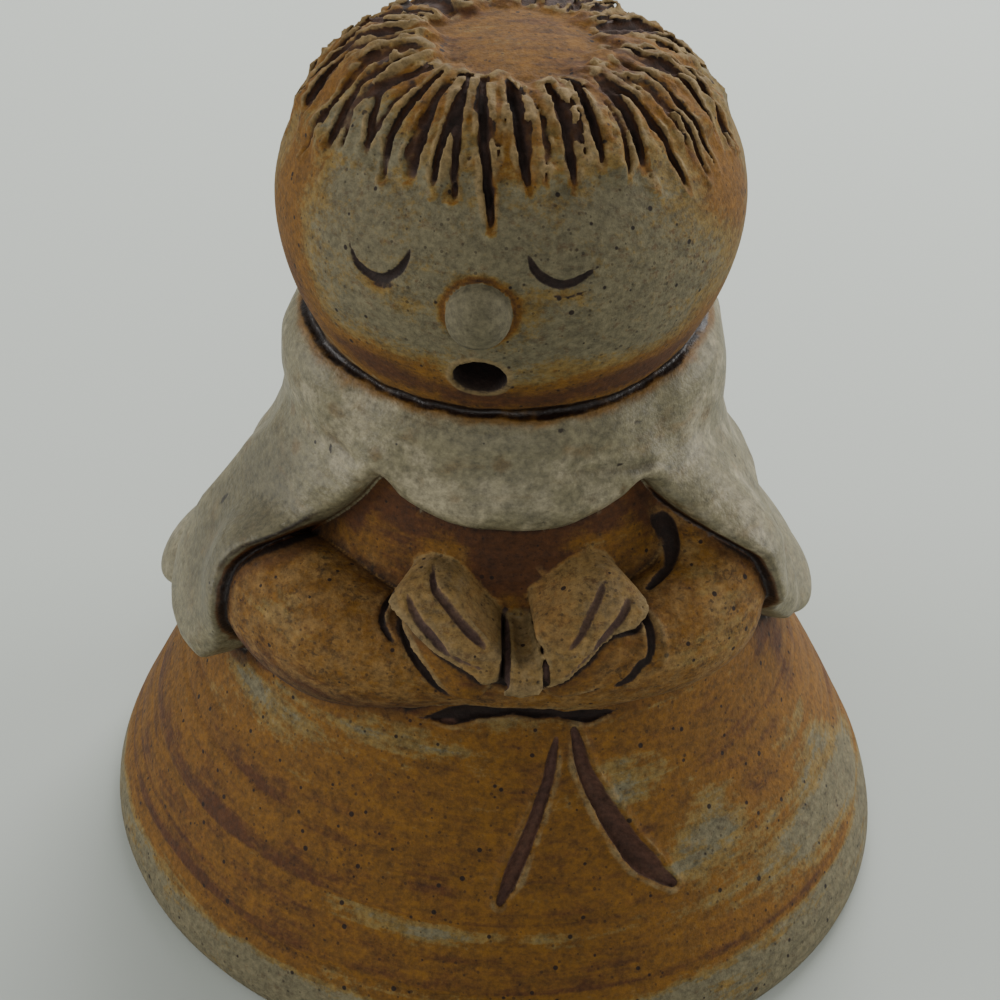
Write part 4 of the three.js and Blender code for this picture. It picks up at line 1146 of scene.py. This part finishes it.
# Wash pooled in the cuts and wiped off their burrs, with painted shade: umber in the crevices, rust in the
# creases, and near black deep in the cuts and in the gaps under the sleeves and beside the right arm
# pooled wash and painted shade: umber in the tight crevices and rust in the wider creases
deep = between(added(known("tight"), grit, 0.3), 0.22, 0.6)
crease_wash_and_shade = between(added(known("hollow"), grit, 0.2), 0.28, 0.7)
crease_wash_and_shade = times(crease_wash_and_shade, added(1.0, on_mitt, -0.8), added(1.0, sandy, -0.4))
body = laid(body, RUST, times(crease_wash_and_shade, 0.75))
body = laid(body, UMBER, times(deep, 0.95))
burr = times(between(added(known("ridge"), grit, 0.3), 0.18, 0.6), without(deep))
body = laid(body, PALE, times(burr, 0.85))
depth = known("depth")
cut = between(added(depth, grit, 0.4), 0.4, 1.1)
line = without(between(added(known("scored"), grit, 0.1), 0.0, 0.14))
cut = worked("MAXIMUM", times(cut, in_hair), line)
body = laid(body, RUST, times(between(depth, 0.1, 0.5), times(in_hair, 0.6)))
cut = times(cut, added(0.85, in_hair, -0.15))
body = laid(body, laid(SLATE, PLUM, plum), cut)
# painted shade: near black deep in the cuts and in the gaps under the sleeves and beside the right arm; the
# face's scored lines are near black too
gap = known("gap")
black = between(added(depth, gap, 0.7), 0.75, 2.0)
black = times(black, added(1.0, plum, -0.5))
black = worked("MAXIMUM", black, times(line, on_face, 0.75))
black = worked("MAXIMUM", black, times(line, gap, 0.9))
body = laid(body, UMBER, black)

# The white glaze of the mantle: mottled, spotted, greyer at the hem of the wings, with painted shade on the
# left wing, in its crevices and hollows and along its folds, and rust and umber where it meets the arms
thick, rim, pooled_gap = known("thick"), known("rim"), known("pooled")
mottle = added(cloudy(4, 4, 12.0, 4.0, 0.65), cloudy(14, 14, 13.0, 1.0), 0.5)
mottle = between(added(mottle, thick, 1.0), -0.02, 0.22)
white = laid(WHITE, CREAM, mottle)
white = laid(white, TAN, times(between(cloudy(6, 3, 15.0, 4.0, 0.65), 0.02, 0.3), 0.8))
# painted shade: the left wing's white is darkened to grey where thick is below 0
white = laid(white, SHADED_WHITE, times(between(thick, -0.04, -0.36), 0.8))
spotted = between(added(known("spots"), cloudy(1.6, 1.6, 25.0, 3.0, 0.7), 0.9), 0.35, 0.85)
white = laid(white, TAN, times(spotted, 0.75))
marked = between(added(known("marks"), cloudy(0.8, 0.8, 26.0, 3.0, 0.7), 0.8), 0.4, 0.7)
white = laid(white, UMBER, times(marked, 0.9))
white = laid(white, UMBER, times(dots(2.6, 0.30, 0.35, 6.0), 0.9))
# painted shade: rust in the mantle's hollows, under its hem and roll
hollow_shade = between(added(known("hollow"), cloudy(2, 2, 16.0, 3.0), 0.5), 0.42, 0.8)
white = laid(white, RUST, times(hollow_shade, 0.85))
# painted shade: umber in the glaze's tight crevices
white = laid(white, UMBER, between(known("tight"), 0.3, 0.7))
tucked = between(added(rim, cloudy(2, 2, 30.0, 3.0), 0.7), 0.12, 0.5)
white = laid(white, RUST, times(tucked, 0.85))
white = laid(white, UMBER, between(added(rim, grit, 0.5), 0.45, 0.95))
stained = between(added(pooled_gap, cloudy(5, 3, 19.0, 3.0), 3.0), 1.6, 0.4)
white = laid(white, OCHRE, times(stained, 0.8))
# painted shade: tan along the scored folds of the mantle
white = laid(white, TAN, times(line, 0.45))
is_white = between(added(known("glazed"), cloudy(1.2, 1.2, 17.0, 2.0), 0.5), 0.35, 0.65)
skin = laid(body, white, is_white)
skin = laid(skin, BALL, worked("LESS_THAN", known("nose"), 0.10))
pool = without(between(added(pooled_gap, cloudy(3, 3, 18.0, 3.0), 1.2), 0.0, 0.4))
skin = laid(skin, UMBER, pool)

# Light and dark grains over it all
cloud = added(1.0, cloudy(1.0, 0.8, 27.0, 3.0, 0.75), 2.0)
cloud = added(cloud, cloudy(3.2, 2.4, 28.0, 2.0, 0.6), 0.7)
shade = node(finish, "ShaderNodeCombineColor", {0: cloud, 1: cloud, 2: cloud}).outputs[0]
skin = laid(skin, shade, 1.0, "MULTIPLY")
link(finish, skin, shader.inputs["Base Color"])

gloss = added(0.82, is_white, -0.3)
gloss = added(gloss, pool, -0.12)
gloss = added(gloss, grit, 0.2)
link(finish, gloss, shader.inputs["Roughness"])
shader.inputs["Specular IOR Level"].default_value = 0.34
rough_skin = added(grit, cloudy(22, 1.0, 5.0, 2.0), 1.2)
bump = node(finish, "ShaderNodeBump", {"Height": rough_skin, "Strength": 0.6, "Distance": 0.00022})
link(finish, bump.outputs[0], shader.inputs["Normal"])
fired.materials.clear()
fired.materials.append(stoneware)
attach(angel, "root")
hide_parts("angel_figurine")

# The stand-in for a studio: a pale floor, soft light from above and the camera of the picture.
FLOOR_COLOUR = (0.46, 0.487, 0.45, 1)
floor_mesh = bpy.data.meshes.new("floor")
floor_mesh.from_pydata([(-3, -3, 0), (3, -3, 0), (3, 3, 0), (-3, 3, 0)], [], [(0, 1, 2, 3)])
floor = placed("floor", floor_mesh)
paper = bpy.data.materials.new("paper")
paper.use_nodes = True
matt = paper.node_tree.nodes["Principled BSDF"].inputs
matt["Base Color"].default_value = FLOOR_COLOUR
matt["Roughness"].default_value = 0.9
floor_mesh.materials.append(paper)

world = bpy.data.worlds.new("sky")
world.use_nodes = True
glow = world.node_tree.nodes["Background"].inputs
glow["Color"].default_value = (0.96, 1.0, 0.97, 1)
glow["Strength"].default_value = 0.40
bpy.context.scene.world = world
for name, place, aim, size, power in (("window", (0.15, 0.50, 0.45), (0, 0.3, 0), 0.5, 5.6),
                                      ("front", (-0.1, -1.2, 0.5), (0, 0, 0.06), 0.8, 4.2),
                                      ("left", (-0.9, 0.0, 0.3), (0, 0, 0.05), 0.6, 5.6),
                                      ("right", (1.0, 0.2, 0.3), (0, 0, 0.05), 0.6, 7.3)):
    lamp = bpy.data.lights.new(name, "AREA")
    lamp.size = size
    lamp.energy = power
    lamp_piece = placed(name, lamp)
    lamp_piece.location = place
    lamp_piece.rotation_euler = (Vector(aim) - Vector(place)).to_track_quat("-Z", "Y").to_euler()

# The camera looks down on the figurine, turned and tipped a little
PITCH, YAW, ROLL = math.radians(36.37), math.radians(0.06), math.radians(0.79)
CAMERA_AT = (0.0003, -0.3046, 0.2751)
FOCAL_LENGTH = 104.6
ahead = Vector((math.sin(YAW) * math.cos(PITCH), math.cos(YAW) * math.cos(PITCH), -math.sin(PITCH)))
level = Vector((math.cos(YAW), -math.sin(YAW), 0))
upright = level.cross(ahead)
right = math.cos(ROLL) * level + math.sin(ROLL) * upright
up = -math.sin(ROLL) * level + math.cos(ROLL) * upright
lens = bpy.data.cameras.new("camera")
lens.lens = FOCAL_LENGTH
lens.sensor_width = 36
camera = placed("camera", lens)
camera.matrix_world = Matrix([(*row, at) for *row, at in zip(right, up, -ahead, CAMERA_AT)]
                             + [(0, 0, 0, 1)])
bpy.context.scene.camera = camera
